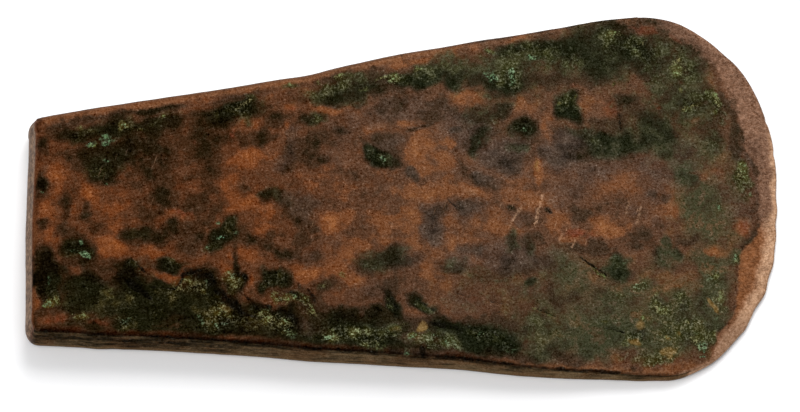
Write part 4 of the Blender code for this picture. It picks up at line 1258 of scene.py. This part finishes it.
@dataclass
class CeltSkin:
    """The celt's whole surface as one fine closed mesh, with its relief and its coats."""

    form: CeltForm = field(default_factory=CeltForm)
    rim_step: float = 0.38 * MM
    face_step: float = 0.345 * MM
    under_step: float = 0.85 * MM
    arris_rings: int = 5
    wall_rows: int = 7
    bend_sizes: tuple[float, float, float] = (5.5, 2.1, 0.8)
    rim_wobble: float = 0.05 * MM
    net_jitter: float = 0.12
    net_seed: int = 5
    least_inside: float = 0.3
    least_gap: float = 0.6
    reach_of_sides: float = 0.999
    noise: Noise = field(default_factory=lambda: Noise(11))

    def bends(self, x: Array, y: Array) -> Bends:
        """Uneven shifts of places, which give ovals ragged rims."""
        noise = self.noise.layered
        return Bends(*((noise(x, y, size, 2), noise(y + 60, x - 25, size, 2)) for size in self.bend_sizes))

    def coats(self, x: Array, y: Array) -> Coats:
        """How strongly each patched coat lies at places of the upper face.

        Args:
            x: places along the celt, in mm.
            y: places across the celt, in mm.

        Returns:
            Strengths from 0 to 1 for each coat.
        """
        bends = self.bends(x, y)
        found = {}
        for coat, ovals in PATCHES.items():
            left = np.ones_like(x)
            for oval in ovals:
                left *= 1 - oval.strength * (1 - smooth(0.35, 1.35, oval.radius(x, y, bends)))
            found[coat] = 1 - left
        return found

    def pits(self, x: Array, y: Array) -> tuple[Array, Array]:
        """The pits and slits of the upper face, steepest at their upper right and with painted shade darkest
        there.

        Args:
            x: places along the celt, in mm.
            y: places across the celt, in mm.

        Returns:
            Their depths in mm, and how dark their painted shade is, from 0 to 1.
        """
        bends = self.bends(x, y)
        deepest, painted_shade = np.zeros_like(x), np.zeros_like(x)
        for pit in PITS:
            radius = pit.radius(x, y, bends)
            side = ((x - pit.x) + (y - pit.y)) / math.sqrt(pit.length * pit.width)
            inside = 1 - smooth(0.62, 1.12, radius)
            deepest = np.maximum(deepest, pit.strength * inside * (0.62 + 0.38 * np.clip(side, -1, 1)))
            # Painted shadow on the upper right wall of each pit, which faces away from the lamp.
            shade = (1 - smooth(0.85, 1.35, radius)) * smooth(-0.25, 0.75, side)
            painted_shade = np.maximum(painted_shade, shade * min(1.0, 1.5 * pit.strength))
        # Each slit gets painted shade along its groove.
        for slit in SLITS:
            uneven = self.noise.at(x, y, 1.2) * 0.35 * slit.width
            inside = 1 - smooth(0.2, 1.0, (slit.distance(x, y) + uneven) / slit.width)
            deepest = np.maximum(deepest, slit.depth * inside)
            painted_shade = np.maximum(painted_shade, slit.dark * inside)
        return deepest, painted_shade

    def build(self) -> Any:
        """Builds the mesh and its attributes.

        Returns:
            The object, not yet dressed.
        """
        rim = self.form.outline(self.rim_step)
        wobble = self.noise.layered(rim.place[:, 0] / MM, rim.place[:, 1] / MM, 2.4, 3)
        rim.place = rim.place - rim.inward * (self.rim_wobble * wobble)[:, None]
        lean = self.form.side_lean + (self.form.butt_lean - self.form.side_lean) * rim.at_butt
        lean = lean * (1 - rim.sharp)
        rings, coats = self.rings(rim, lean)
        count = len(rim.place)
        top_points, top_faces, top_coats = self.face(rim, lean, rings[0], self.face_step, upper=True)
        low_points, low_faces, low_coats = self.face(rim, lean, rings[-1], self.under_step, upper=False)
        ring_points = np.concatenate(rings)
        last = len(rings) - 1
        points = np.concatenate([ring_points, top_points, low_points])
        i = np.arange(count)
        following = (i + 1) % count
        quads = []
        for row in range(last):
            a, b = row * count, (row + 1) * count
            quads.append(np.stack([a + i, b + i, b + following, a + following], 1))
        top_start, low_start = len(ring_points), len(ring_points) + len(top_points)
        top_faces = np.where(top_faces < count, top_faces, top_faces - count + top_start)
        low_faces = np.where(low_faces < count, low_faces + last * count, low_faces - count + low_start)
        faces = [tuple(face) for part in (*quads, top_faces, low_faces[:, ::-1]) for face in part.tolist()]
        mesh = bpy.data.meshes.new("celt")
        mesh.from_pydata(points.tolist(), [], faces)
        for coat in Coat:
            values = np.concatenate([coats[coat], top_coats[coat], low_coats[coat]]).clip(0, 1)
            layer = mesh.attributes.new(coat.value, "FLOAT", "POINT")
            layer.data.foreach_set("value", values.astype(np.float32))
        mesh.shade_smooth()
        mesh.validate()
        return placed_object("celt", mesh)

    def rings(self, rim: Rim, lean: Array) -> tuple[list[Array], Coats]:
        """The rounded rims and the narrow sides, as rings of points from the top down.

        Args:
            rim: the outline.
            lean: how far the top of the side stands back from its foot.

        Returns:
            The rings, and the coats at all their points.
        """
        turns = [RIGHT_ANGLE * i / self.arris_rings for i in range(self.arris_rings + 1)]
        parts = [self.upper_ring(rim, lean, turn) for turn in reversed(turns)]
        top = parts[-1][0]
        foot_height = self.form.under(np.zeros(len(top)), rim.under_arris, rim.sharp)
        foot = np.column_stack([rim.place, foot_height])
        shares = [row / (self.wall_rows + 1) for row in range(1, self.wall_rows + 1)]
        parts += [self.wall_ring(rim, top, foot, share) for share in shares]
        parts += [self.under_ring(rim, turn) for turn in turns]
        rings = [ring for ring, _ in parts]
        return rings, {coat: np.concatenate([coats[coat] for _, coats in parts]) for coat in Coat}

    def upper_ring(self, rim: Rim, lean: Array, turn: float) -> tuple[Array, Coats]:
        """One ring of the rounding between the upper face and the side.

        Args:
            rim: the outline.
            lean: how far the top of the side stands back from its foot.
            turn: how far round it lies, from 0 at the side to a right angle at the face.

        Returns:
            The ring's points, and the coats there.
        """
        depth = rim.arris * (1 - math.cos(turn))
        place = rim.place + rim.inward * (lean + depth)[:, None]
        height = self.form.upper(place[:, 0], place[:, 1], depth, rim.arris, rim.sharp)
        all_points = np.arange(len(rim.place))
        coats = self.upper_coats(place, depth, rim, all_points)
        share = turn / RIGHT_ANGLE
        raised = self.raised(place, coats, depth, rim, all_points) * share
        weaken(coats, SIDE_COATS, 1 - smooth(0.15, 0.75, share))
        return np.column_stack([place, height + raised]), coats

    def wall_ring(self, rim: Rim, top: Array, foot: Array, share: float) -> tuple[Array, Coats]:
        """One ring of the narrow side, which bulges a little and has grooves along it.

        Args:
            rim: the outline.
            top: the ring at the top of the side.
            foot: the ring at its foot.
            share: how far down it lies.

        Returns:
            The ring's points, and the coats there.
        """
        place = top * (1 - share) + foot * share
        along = rim.place[:, 0] / MM + rim.place[:, 1] / MM
        z = place[:, 2] / MM
        grooves = self.noise.layered(along * 0.12, z * 1.5 + 50, 1.0, 2)
        uneven = 0.06 * self.noise.at(along, z, 3) + 0.05 * np.minimum(grooves, 0)
        swell = self.form.side_swell + (self.form.butt_swell - self.form.side_swell) * rim.at_butt
        out = swell * math.sin(math.pi * share) + uneven * MM * (1 - rim.sharp)
        place[:, :2] -= rim.inward * out[:, None]
        coats = {coat: np.zeros(len(top)) for coat in Coat}
        edge, ahead = smooth(0.1, 0.5, rim.sharp), top[:, 0] / MM
        coats[Coat.BUTT_FACE] = rim.at_butt
        coats[Coat.SIDE] = (1 - rim.at_butt) * (1 - edge)
        coats[Coat.BARE_EDGE] = coats[Coat.OUTER_EDGE] = edge
        coats[Coat.BROWN_EDGE] = smooth(8, 18, rim.place[:, 1] / MM)
        # Painted light from the white floor, strongest at the foot of the side; the middle and upper parts
        # lighten the side towards the blade.
        low = smooth(0.66, 0.95, share) * (0.6 + 0.4 * smooth(-52, -30, ahead))
        middle = smooth(0.25, 0.6, share) * smooth(-20, 10, ahead)
        coats[Coat.FOOT_LIGHT] = np.maximum(low, 0.5 * middle)
        coats[Coat.FOOT_LIGHT] = np.maximum(coats[Coat.FOOT_LIGHT], 0.24 * smooth(-38, -26, ahead))
        # Painted shade: the side darker at its top under the rim towards the butt, and in its grooves.
        shade_under_rim = smooth(0.5, 0.2, share) * smooth(-14, -32, rim.place[:, 0] / MM)
        dirt = np.maximum(0.25 * smooth(0.15, 0.75, -grooves), 0.6 * shade_under_rim)
        coats[Coat.DIRT_AND_SHADE] = (1 - rim.sharp) * (1 - rim.at_butt) * dirt
        return place, coats

    def under_ring(self, rim: Rim, turn: float) -> tuple[Array, Coats]:
        """One ring of the rounding between the side and the underside.

        Args:
            rim: the outline.
            turn: how far round it lies, from 0 at the side to a right angle at the underside.

        Returns:
            The ring's points, and the coats there.
        """
        depth = rim.under_arris * (1 - math.cos(turn))
        place = rim.place + rim.inward * depth[:, None]
        height = self.form.under(depth, rim.under_arris, rim.sharp)
        coats = self.under_coats(place, depth, rim, np.arange(len(rim.place)))
        # The rounding under the side gets the full painted floor light.
        coats[Coat.FOOT_LIGHT] = np.ones(len(place))
        weaken(coats, SIDE_COATS, 1 - smooth(0.15, 0.75, turn / RIGHT_ANGLE))
        return np.column_stack([place, height]), coats

    def net(self, rim: Rim, ring: Array, step: float) -> tuple[Array, Array, Array]:
        """An even net of triangles inside a ring.

        Args:
            rim: the outline.
            ring: the ring that it is joined to.
            step: the distance between its points, in metres.

        Returns:
            The places inside the ring, the nearest point of the outline to each, and the triangles,
            which count the ring's points first and then those places.
        """
        low, high = ring.min(0), ring.max(0)
        columns = np.arange(low[0], high[0], step)
        rows = np.arange(low[1], high[1], step * math.sqrt(0.75))
        x, y = np.meshgrid(columns, rows)
        x = x + (np.arange(len(rows)) % 2)[:, None] * step / 2
        x, y = x.ravel(), y.ravel()
        random = np.random.default_rng(self.net_seed)
        jitter = random.uniform(-self.net_jitter, self.net_jitter, (2, len(x))) * step
        x, y = x + jitter[0], y + jitter[1]
        tree = KDTree(len(ring))
        for i, (a, b) in enumerate(ring[:, :2]):
            tree.insert((a, b, 0), i)
        tree.balance()
        nearest = np.array([tree.find((a, b, 0))[1] for a, b in zip(x, y)])
        place = np.stack([x, y], 1)
        offset = place - ring[nearest, :2]
        within = (offset * rim.inward[nearest]).sum(1)
        gap = np.linalg.norm(offset, axis=1)
        kept = (within > self.least_inside * step) & (gap > self.least_gap * step)
        flat = [Vector(pair) for pair in (*ring[:, :2], *place[kept])]
        border = [list(range(len(ring)))]
        _, _, triangles, origins, _, _ = delaunay_2d_cdt(flat, [], border, 1, 1e-9)
        index = np.array([origin[0] for origin in origins])
        used, faces = np.unique(index[np.array(triangles)], return_inverse=True)
        if len(used) < len(ring) or used[len(ring) - 1] != len(ring) - 1:
            raise ValueError("the face doesn't reach every point of its ring")
        inner = used[len(ring):] - len(ring)
        return place[kept][inner], nearest[kept][inner], faces.reshape(-1, 3)

    def face(
        self, rim: Rim, lean: Array, ring: Array, step: float, upper: bool
    ) -> tuple[Array, Array, Coats]:
        """The broad upper or lower face inside a ring, as an even net of triangles.

        Args:
            rim: the outline.
            lean: how far the top of the side stands back from its foot.
            ring: the ring that the face is joined to.
            step: the distance between points of the net, in metres.
            upper: True for the upper face.

        Returns:
            The points inside the ring, the triangles over the ring's points and then those, and the coats.
        """
        place, nearest, faces = self.net(rim, ring, step)
        x, y = place.T
        depth = ((place - rim.place[nearest]) * rim.inward[nearest]).sum(1)
        if upper:
            depth = depth - lean[nearest]
            coats = self.upper_coats(place, depth, rim, nearest)
            height = self.form.upper(x, y, depth, rim.arris[nearest], rim.sharp[nearest])
            height = height + self.raised(place, coats, depth, rim, nearest)
        else:
            coats = self.under_coats(place, depth, rim, nearest)
            height = self.form.under(depth, rim.under_arris[nearest], rim.sharp[nearest])
            sunk = 0.07 * np.maximum(self.noise.layered(x / MM, y / MM, 8, 3), 0)
            height = height + (sunk + 0.12 * coats[Coat.DIRT_AND_SHADE]) * MM * smooth(0, 3 * MM, depth)
        return np.column_stack([place, height]), faces, coats

    def raised(
        self, place: Array, coats: Coats, depth: Array, rim: Rim, nearest: Array
    ) -> Array:
        """How far the upper face stands above the bare form, fading out towards the cutting edge.

        Args:
            place: the places, in metres.
            coats: the coats there.
            depth: how far inside the outline each place is.
            rim: the outline.
            nearest: the nearest point of the outline to each place.

        Returns:
            Heights in metres.
        """
        x, y = place[:, 0] / MM, place[:, 1] / MM
        near = y + self.form.width(self.form.share(place[:, 0])) / 2 / MM
        hammered = 0.07 * self.noise.layered(x, y, 9, 2) + 0.02 * self.noise.at(x, y, 2.2)
        crust = np.maximum(coats[Coat.GREEN_CRUST], 0.8 * coats[Coat.PALE_CRUST])
        crumbs = 0.045 * self.noise.layered(x + 7, y, 1.3, 3) + 0.03 * self.noise.at(x, y + 9, 0.55)
        worn = smooth(22, -8, x) * smooth(-66, -58, x)
        trough = 0.20 * worn * hill(near - 6.5, 7) - 0.14 * smooth(30, -20, x) * hill(near - 1.3, 2.2)
        skin = 0.10 * coats[Coat.BARE_EDGE] * smooth(0.2, 0.7, crust.clip(0, 1) + 0.6)
        pores = 0.03 * np.minimum(self.noise.at(x, y, 0.6) + 0.35, 0)
        bends = self.bends(x, y)
        bumps = sum(bump.strength * (1 - smooth(0.3, 1.2, bump.radius(x, y, bends))) for bump in BUMPS)
        height = hammered + crust * (0.03 + crumbs) - trough - skin + pores + bumps - self.pits(x, y)[0]
        return height * MM * (1 - rim.sharp[nearest] * (1 - smooth(0, 2.5 * MM, depth)))

    def upper_coats(self, place: Array, depth: Array, rim: Rim, nearest: Array) -> Coats:
        """All coats at places of the upper face.

        Args:
            place: the places, in metres.
            depth: how far inside the outline each place is.
            rim: the outline.
            nearest: the nearest point of the outline to each place.

        Returns:
            Strengths from 0 to 1 for each coat.
        """
        x, y = place[:, 0] / MM, place[:, 1] / MM
        run, sharp, at_butt = rim.run[nearest], rim.sharp[nearest], rim.at_butt[nearest]
        far, near = run == Run.FAR_SIDE.value, run == Run.NEAR_SIDE.value
        inside = depth / MM + 0.7 * self.noise.layered(x, y, 2.2)
        coats = self.coats(x, y)
        bare = self.bareness(x, y)
        weaken(coats, (*FILMS, *CRUSTS, Coat.VERDIGRIS), 1 - bare)
        worn = np.where(far, (1 - smooth(0.8, 2.6, inside)) * (0.25 + 0.75 * smooth(18, 0, x)), 0)
        worn = worn + np.where(near, 0.9 - 0.9 * smooth(0.3, 1.7, inside), 0) * (1 - coats[Coat.VERDIGRIS])
        butt_worn = (1 - smooth(0.2, 1.4, inside)) * (1 - 0.9 * coats[Coat.TARNISH])
        worn = np.maximum(worn, np.where(at_butt > 0.5, butt_worn, 0))
        weaken(coats, (*FILMS, Coat.TARNISH), 1 - 0.75 * smooth(0.6, 1.0, coats[Coat.BRIGHT_COPPER]))
        weaken(coats, (*FILMS, *CRUSTS, Coat.TARNISH), 1 - 0.8 * worn)
        # A painted highlight: a light line along the very edge where the brown is left off, and the lighter
        # outer edge.
        rim_light = 0.8 * (1 - smooth(0.1, 1.4, inside)) * smooth(15, 5, y)
        coats[Coat.BARE_EDGE] = bare
        coats[Coat.BROWN_EDGE] = np.maximum(smooth(-11, -3, y) * (1 - rim_light), 0.5 * smooth(-19, -26, y))
        coats[Coat.OUTER_EDGE] = bare * (1 - smooth(0.5, 3.0, inside))
        coats[Coat.LIGHT_FILM] = smooth(16, 34, x) * smooth(13, 3, y)
        lines = [line.dark * (1 - smooth(0.2, 1.0, line.distance(x, y) / line.width)) for line in SCRATCHES]
        coats[Coat.SCRATCH] = np.max(lines, 0)
        coats[Coat.FOOT_LIGHT] = np.zeros(len(place))
        coats[Coat.WARM] = smooth(4, -32, x) * (1 - 0.6 * far * smooth(6, 0.5, inside))
        coats[Coat.RIM] = worn
        coats[Coat.NEAR_RIM] = near * smooth(30, 5, x)
        # Painted shade: a dark line along the near arris, where the face turns down to the side.
        near_arris_shade = np.where(near, hill(depth / MM - 0.25, 0.75), 0) * (1 - sharp)
        uneven = smooth(-0.5, 0.4, self.noise.layered(x, y, 5, 2))
        coats[Coat.DIRT_AND_SHADE] = np.maximum(self.pits(x, y)[1], (0.35 + 0.4 * uneven) * near_arris_shade)
        outer = (depth < 1 * MM) & (depth <= rim.arris[nearest] * self.reach_of_sides)
        coats[Coat.SIDE] = np.where(outer & (at_butt < 0.5), 1 - sharp, 0)
        coats[Coat.BUTT_FACE] = np.where(outer, at_butt, 0)
        return coats

    def bareness(self, x: Array, y: Array) -> Array:
        """How bare the metal is beyond the line beside the cutting edge.

        Args:
            x: places along the celt, in mm.
            y: places across the celt, in mm.

        Returns:
            0 on the coated face to 1 beyond the line.
        """
        across, along = np.array(BARE_LINE).T
        slope = (np.interp(y + 0.5, across, along) - np.interp(y - 0.5, across, along)).clip(-2, 2)
        beyond = (x - np.interp(y, across, along)) / np.sqrt(1 + slope**2)
        soft = 0.6 + 1.5 * smooth(8, 20, y)
        return smooth(-soft, soft, beyond + 0.6 * self.noise.layered(x, y, 2.2)) * smooth(42, 46, x)

    def under_coats(self, place: Array, depth: Array, rim: Rim, nearest: Array) -> Coats:
        """All coats at places of the underside, which is plainer than the upper face.

        Args:
            place: the places, in metres.
            depth: how far inside the outline each place is.
            rim: the outline.
            nearest: the nearest point of the outline to each place.

        Returns:
            Strengths from 0 to 1 for each coat.
        """
        x, y = place[:, 0] / MM + 200, place[:, 1] / MM - 140
        wide, patchy = self.noise.layered(x, y, 22, 3), self.noise.layered(y, x, 9, 3)
        coats = {coat: np.zeros(len(place)) for coat in Coat}
        coats[Coat.WARM] = smooth(6, -30, place[:, 0] / MM)
        coats[Coat.TARNISH] = smooth(-0.1, 0.6, wide)
        coats[Coat.BRIGHT_COPPER] = smooth(0.1, 0.7, -wide)
        coats[Coat.GREEN_CRUST] = smooth(0.15, 0.6, patchy)
        coats[Coat.PALE_CRUST] = 0.8 * smooth(0.42, 0.7, patchy)
        coats[Coat.VERDIGRIS] = 0.8 * smooth(0.52, 0.85, self.noise.layered(x, y, 6, 2))
        coats[Coat.DIRT_AND_SHADE] = smooth(0.45, 0.75, self.noise.layered(y, x + 40, 4, 2))
        edge = np.where(rim.run[nearest] == Run.CUTTING_EDGE.value, rim.sharp[nearest], 0)
        coats[Coat.BARE_EDGE] = edge * (1 - smooth(4, 5.4, depth / MM + 0.7 * self.noise.layered(x, y, 2.2)))
        weaken(coats, (*CRUSTS, Coat.TARNISH, Coat.VERDIGRIS, Coat.DIRT_AND_SHADE), 1 - coats[Coat.BARE_EDGE])
        inner = depth > rim.under_arris[nearest] * self.reach_of_sides
        coats[Coat.SIDE] = np.where(inner | (rim.at_butt[nearest] > 0.5), 0, 1 - rim.sharp[nearest])
        coats[Coat.BUTT_FACE] = np.where(inner, 0, rim.at_butt[nearest])
        return coats

    def dress(self, celt: Any, finish: CopperFinish) -> None:
        """Gives the skin its material and its place in the frame.

        Args:
            celt: the skin's object.
            finish: its finish.
        """
        celt.data.materials.append(finish.material())
        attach(celt, "root")
        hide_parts("celt_body")


@dataclass
class CrustGrains:
    """Crumbs of copper salts that stand on the crusted parts of the upper face."""

    smallest: float = 0.06 * MM
    largest: float = 0.15 * MM
    most_per_square_metre: float = 3.0e6
    seed: int = 4
    tone_seed: int = 9
    flatness: float = 0.7

    def tree(self, material: Any) -> Any:
        """Builds the Geometry Nodes that strew the grains over a skin.

        Args:
            material: the grains' material.

        Returns:
            The node group.
        """
        group = bpy.data.node_groups.new("crust_grains", "GeometryNodeTree")
        sockets = group.interface
        sockets.new_socket("Skin", in_out="INPUT", socket_type="NodeSocketGeometry")
        numbers = {"Smallest": self.smallest, "Largest": self.largest, "Most": self.most_per_square_metre}
        for name, value in numbers.items():
            sockets.new_socket(name, in_out="INPUT", socket_type="NodeSocketFloat").default_value = value
        sockets.new_socket("Seed", in_out="INPUT", socket_type="NodeSocketInt").default_value = self.seed
        sockets.new_socket("Grains", in_out="OUTPUT", socket_type="NodeSocketGeometry")
        nodes = NodeTree(group)
        given = nodes.add("NodeGroupInput", {}, {}).outputs
        crust, pale, minty = (
            self.read(nodes, coat) for coat in (Coat.GREEN_CRUST, Coat.PALE_CRUST, Coat.VERDIGRIS)
        )
        amount = pale.rise(0.45, 0.8) * 0.7 + minty.rise(0.5, 0.9) * 0.5 + crust.rise(0.5, 0.9) * 0.12
        normal = nodes.add("GeometryNodeInputNormal", {}, {}).outputs[0]
        upward = nodes.add("ShaderNodeSeparateXYZ", {}, {0: normal}).outputs[2]
        amount = amount * Number(nodes, upward).rise(0.2, 0.5)
        strewn = nodes.add(
            "GeometryNodeDistributePointsOnFaces",
            {"distribute_method": "RANDOM"},
            {"Mesh": given["Skin"], "Density": amount * Number(nodes, given["Most"]), "Seed": given["Seed"]},
        )
        full_turn = (6.28, 6.28, 6.28)
        turn = nodes.add(
            "FunctionNodeRandomValue",
            {"data_type": "FLOAT_VECTOR"},
            {0: (0, 0, 0), 1: full_turn, "Seed": given["Seed"]},
        )
        size = self.random(nodes, given["Smallest"], given["Largest"], given["Seed"])
        scale = nodes.add("ShaderNodeCombineXYZ", {}, {0: size, 1: size, 2: size * self.flatness})
        ball = nodes.add("GeometryNodeMeshIcoSphere", {}, {"Radius": 1.0, "Subdivisions": 1})
        placed = nodes.add(
            "GeometryNodeInstanceOnPoints",
            {},
            {
                "Points": strewn.outputs["Points"],
                "Instance": ball.outputs["Mesh"],
                "Rotation": turn.outputs[0],
                "Scale": scale.outputs[0],
            },
        )
        tone = self.random(nodes, 0.0, 1.0, self.tone_seed)
        toned = self.stored(nodes, placed.outputs[0], "grain_tone", tone)
        mint_inputs = {"Mesh": given["Skin"], "Value": minty * 1.4 - pale * 0.5}
        mint = nodes.add("GeometryNodeSampleNearestSurface", {"data_type": "FLOAT"}, mint_inputs)
        minted = self.stored(nodes, toned, "grain_mint", mint.outputs[0])
        real = nodes.add("GeometryNodeRealizeInstances", {}, {0: minted})
        done = nodes.add("GeometryNodeSetMaterial", {}, {"Geometry": real.outputs[0], "Material": material})
        nodes.add("NodeGroupOutput", {}, {0: done.outputs[0]})
        return group

    @staticmethod
    def read(nodes: NodeTree, coat: Coat) -> Number:
        """Reads a coat's strength on the skin."""
        node = nodes.add("GeometryNodeInputNamedAttribute", {"data_type": "FLOAT"}, {"Name": coat.value})
        return Number(nodes, node.outputs[0])

    @staticmethod
    def random(nodes: NodeTree, low: Any, high: Any, seed: Any) -> Number:
        """A random number between two limits for each grain."""
        node = nodes.add("FunctionNodeRandomValue", {"data_type": "FLOAT"}, {2: low, 3: high, "Seed": seed})
        return Number(nodes, node.outputs[1])

    @staticmethod
    def stored(nodes: NodeTree, instances: Any, name: str, value: Any) -> Any:
        """Stores a number on each of the instanced grains, as an attribute of that name."""
        inputs = {"Geometry": instances, "Name": name, "Value": value}
        return nodes.add("GeometryNodeStoreNamedAttribute", {"domain": "INSTANCE"}, inputs).outputs[0]

    def build(self, celt: Any, finish: GrainFinish) -> Any:
        """Strews the grains and turns them into a plain mesh.

        Args:
            celt: the skin that they stand on.
            finish: their finish.

        Returns:
            The grains' object.
        """
        carrier = placed_object("grain_carrier", celt.data)
        modifier = carrier.modifiers.new("grains", "NODES")
        modifier.node_group = self.tree(finish.material())
        graph = bpy.context.evaluated_depsgraph_get()
        mesh = bpy.data.meshes.new_from_object(carrier.evaluated_get(graph), depsgraph=graph)
        bpy.data.objects.remove(carrier)
        grains = placed_object("crust_grains", mesh)
        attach(grains, "root")
        return grains


@dataclass(frozen=True)
class Lamp:
    """A soft square lamp that faces the celt: its place, size and power."""

    name: str
    place: tuple[float, float, float]
    size: float
    power: float

    def hang(self, target: Vector) -> None:
        """Adds the lamp.

        Args:
            target: the place that it faces.
        """
        data = bpy.data.lights.new(self.name, "AREA")
        data.energy = self.power
        data.size = self.size
        lamp = placed_object(self.name, data)
        lamp.location = self.place
        lamp.rotation_euler = (target - lamp.location).to_track_quat("-Z", "Y").to_euler()


@dataclass(frozen=True)
class Studio:
    """A white floor, a soft lamp at the far right, one high at the near left, a pale room and the camera."""

    elevation: float = math.radians(70)
    heading: float = math.radians(4)
    distance: float = 1.0
    target: tuple[float, float, float] = (0.0, 0.0003, 0.004)
    pixels_per_radian: float = 5792.0
    frame_width: int = 800
    sensor: float = 36.0
    room_light: float = 0.45
    lamps: tuple[Lamp, ...] = (
        Lamp("key_lamp", (0.27, 0.58, 0.56), 0.65, 8.2),
        Lamp("high_lamp", (-0.24, -0.22, 1.15), 0.55, 6.0),
    )
    floor_size: float = 3.0
    floor_level: float = -0.02 * MM
    floor_colour: tuple[float, float, float, float] = (0.92, 0.92, 0.93, 1.0)

    def camera(self) -> None:
        """Sets up the camera at the photographed angle."""
        heading = Vector((math.sin(self.heading), math.cos(self.heading), 0))
        look = heading * math.cos(self.elevation) - Vector((0, 0, math.sin(self.elevation)))
        right = look.cross(Vector((0, 0, 1))).normalized()
        up = right.cross(look)
        data = bpy.data.cameras.new("camera")
        data.sensor_width = self.sensor
        data.lens = self.pixels_per_radian * self.sensor / self.frame_width
        data.clip_start = 0.01
        camera = placed_object("camera", data)
        turn = Matrix((right, up, -look)).transposed().to_4x4()
        camera.matrix_world = Matrix.Translation(Vector(self.target) - look * self.distance) @ turn
        bpy.context.scene.camera = camera

    def lights(self) -> None:
        """Adds the lamps and the pale room."""
        for lamp in self.lamps:
            lamp.hang(Vector(self.target))
        world = bpy.data.worlds.new("pale_room")
        world.use_nodes = True
        background = world.node_tree.nodes["Background"]
        background.inputs["Color"].default_value = (1, 1, 1, 1)
        background.inputs["Strength"].default_value = self.room_light
        bpy.context.scene.world = world
        bpy.context.scene.view_settings.view_transform = "Standard"

    def floor(self) -> Any:
        """Lays the white floor.

        Returns:
            The floor.
        """
        half = self.floor_size / 2
        mesh = bpy.data.meshes.new("floor")
        corners = [(x * half, y * half, self.floor_level) for x, y in ((-1, -1), (1, -1), (1, 1), (-1, 1))]
        mesh.from_pydata(corners, [], [(0, 1, 2, 3)])
        material, tree = new_material("white_paper")
        tree.surface({"Base Color": self.floor_colour, "Roughness": 0.9})
        mesh.materials.append(material)
        floor = placed_object("floor", mesh)
        return floor


def report(piece: Any) -> None:
    """Logs a piece's name and how many faces it has."""
    LOG.info("%s: %d faces", piece.name, len(piece.data.polygons))


def main() -> None:
    """Builds the dressed celt, its light and its camera."""
    logging.basicConfig(level=logging.INFO, format="%(message)s")
    studio = Studio()
    studio.camera()
    studio.lights()
    report(studio.floor())
    skin = CeltSkin()
    celt = skin.build()
    skin.dress(celt, CopperFinish())
    report(celt)
    report(CrustGrains().build(celt, GrainFinish()))


if __name__ == "__main__":
    main()
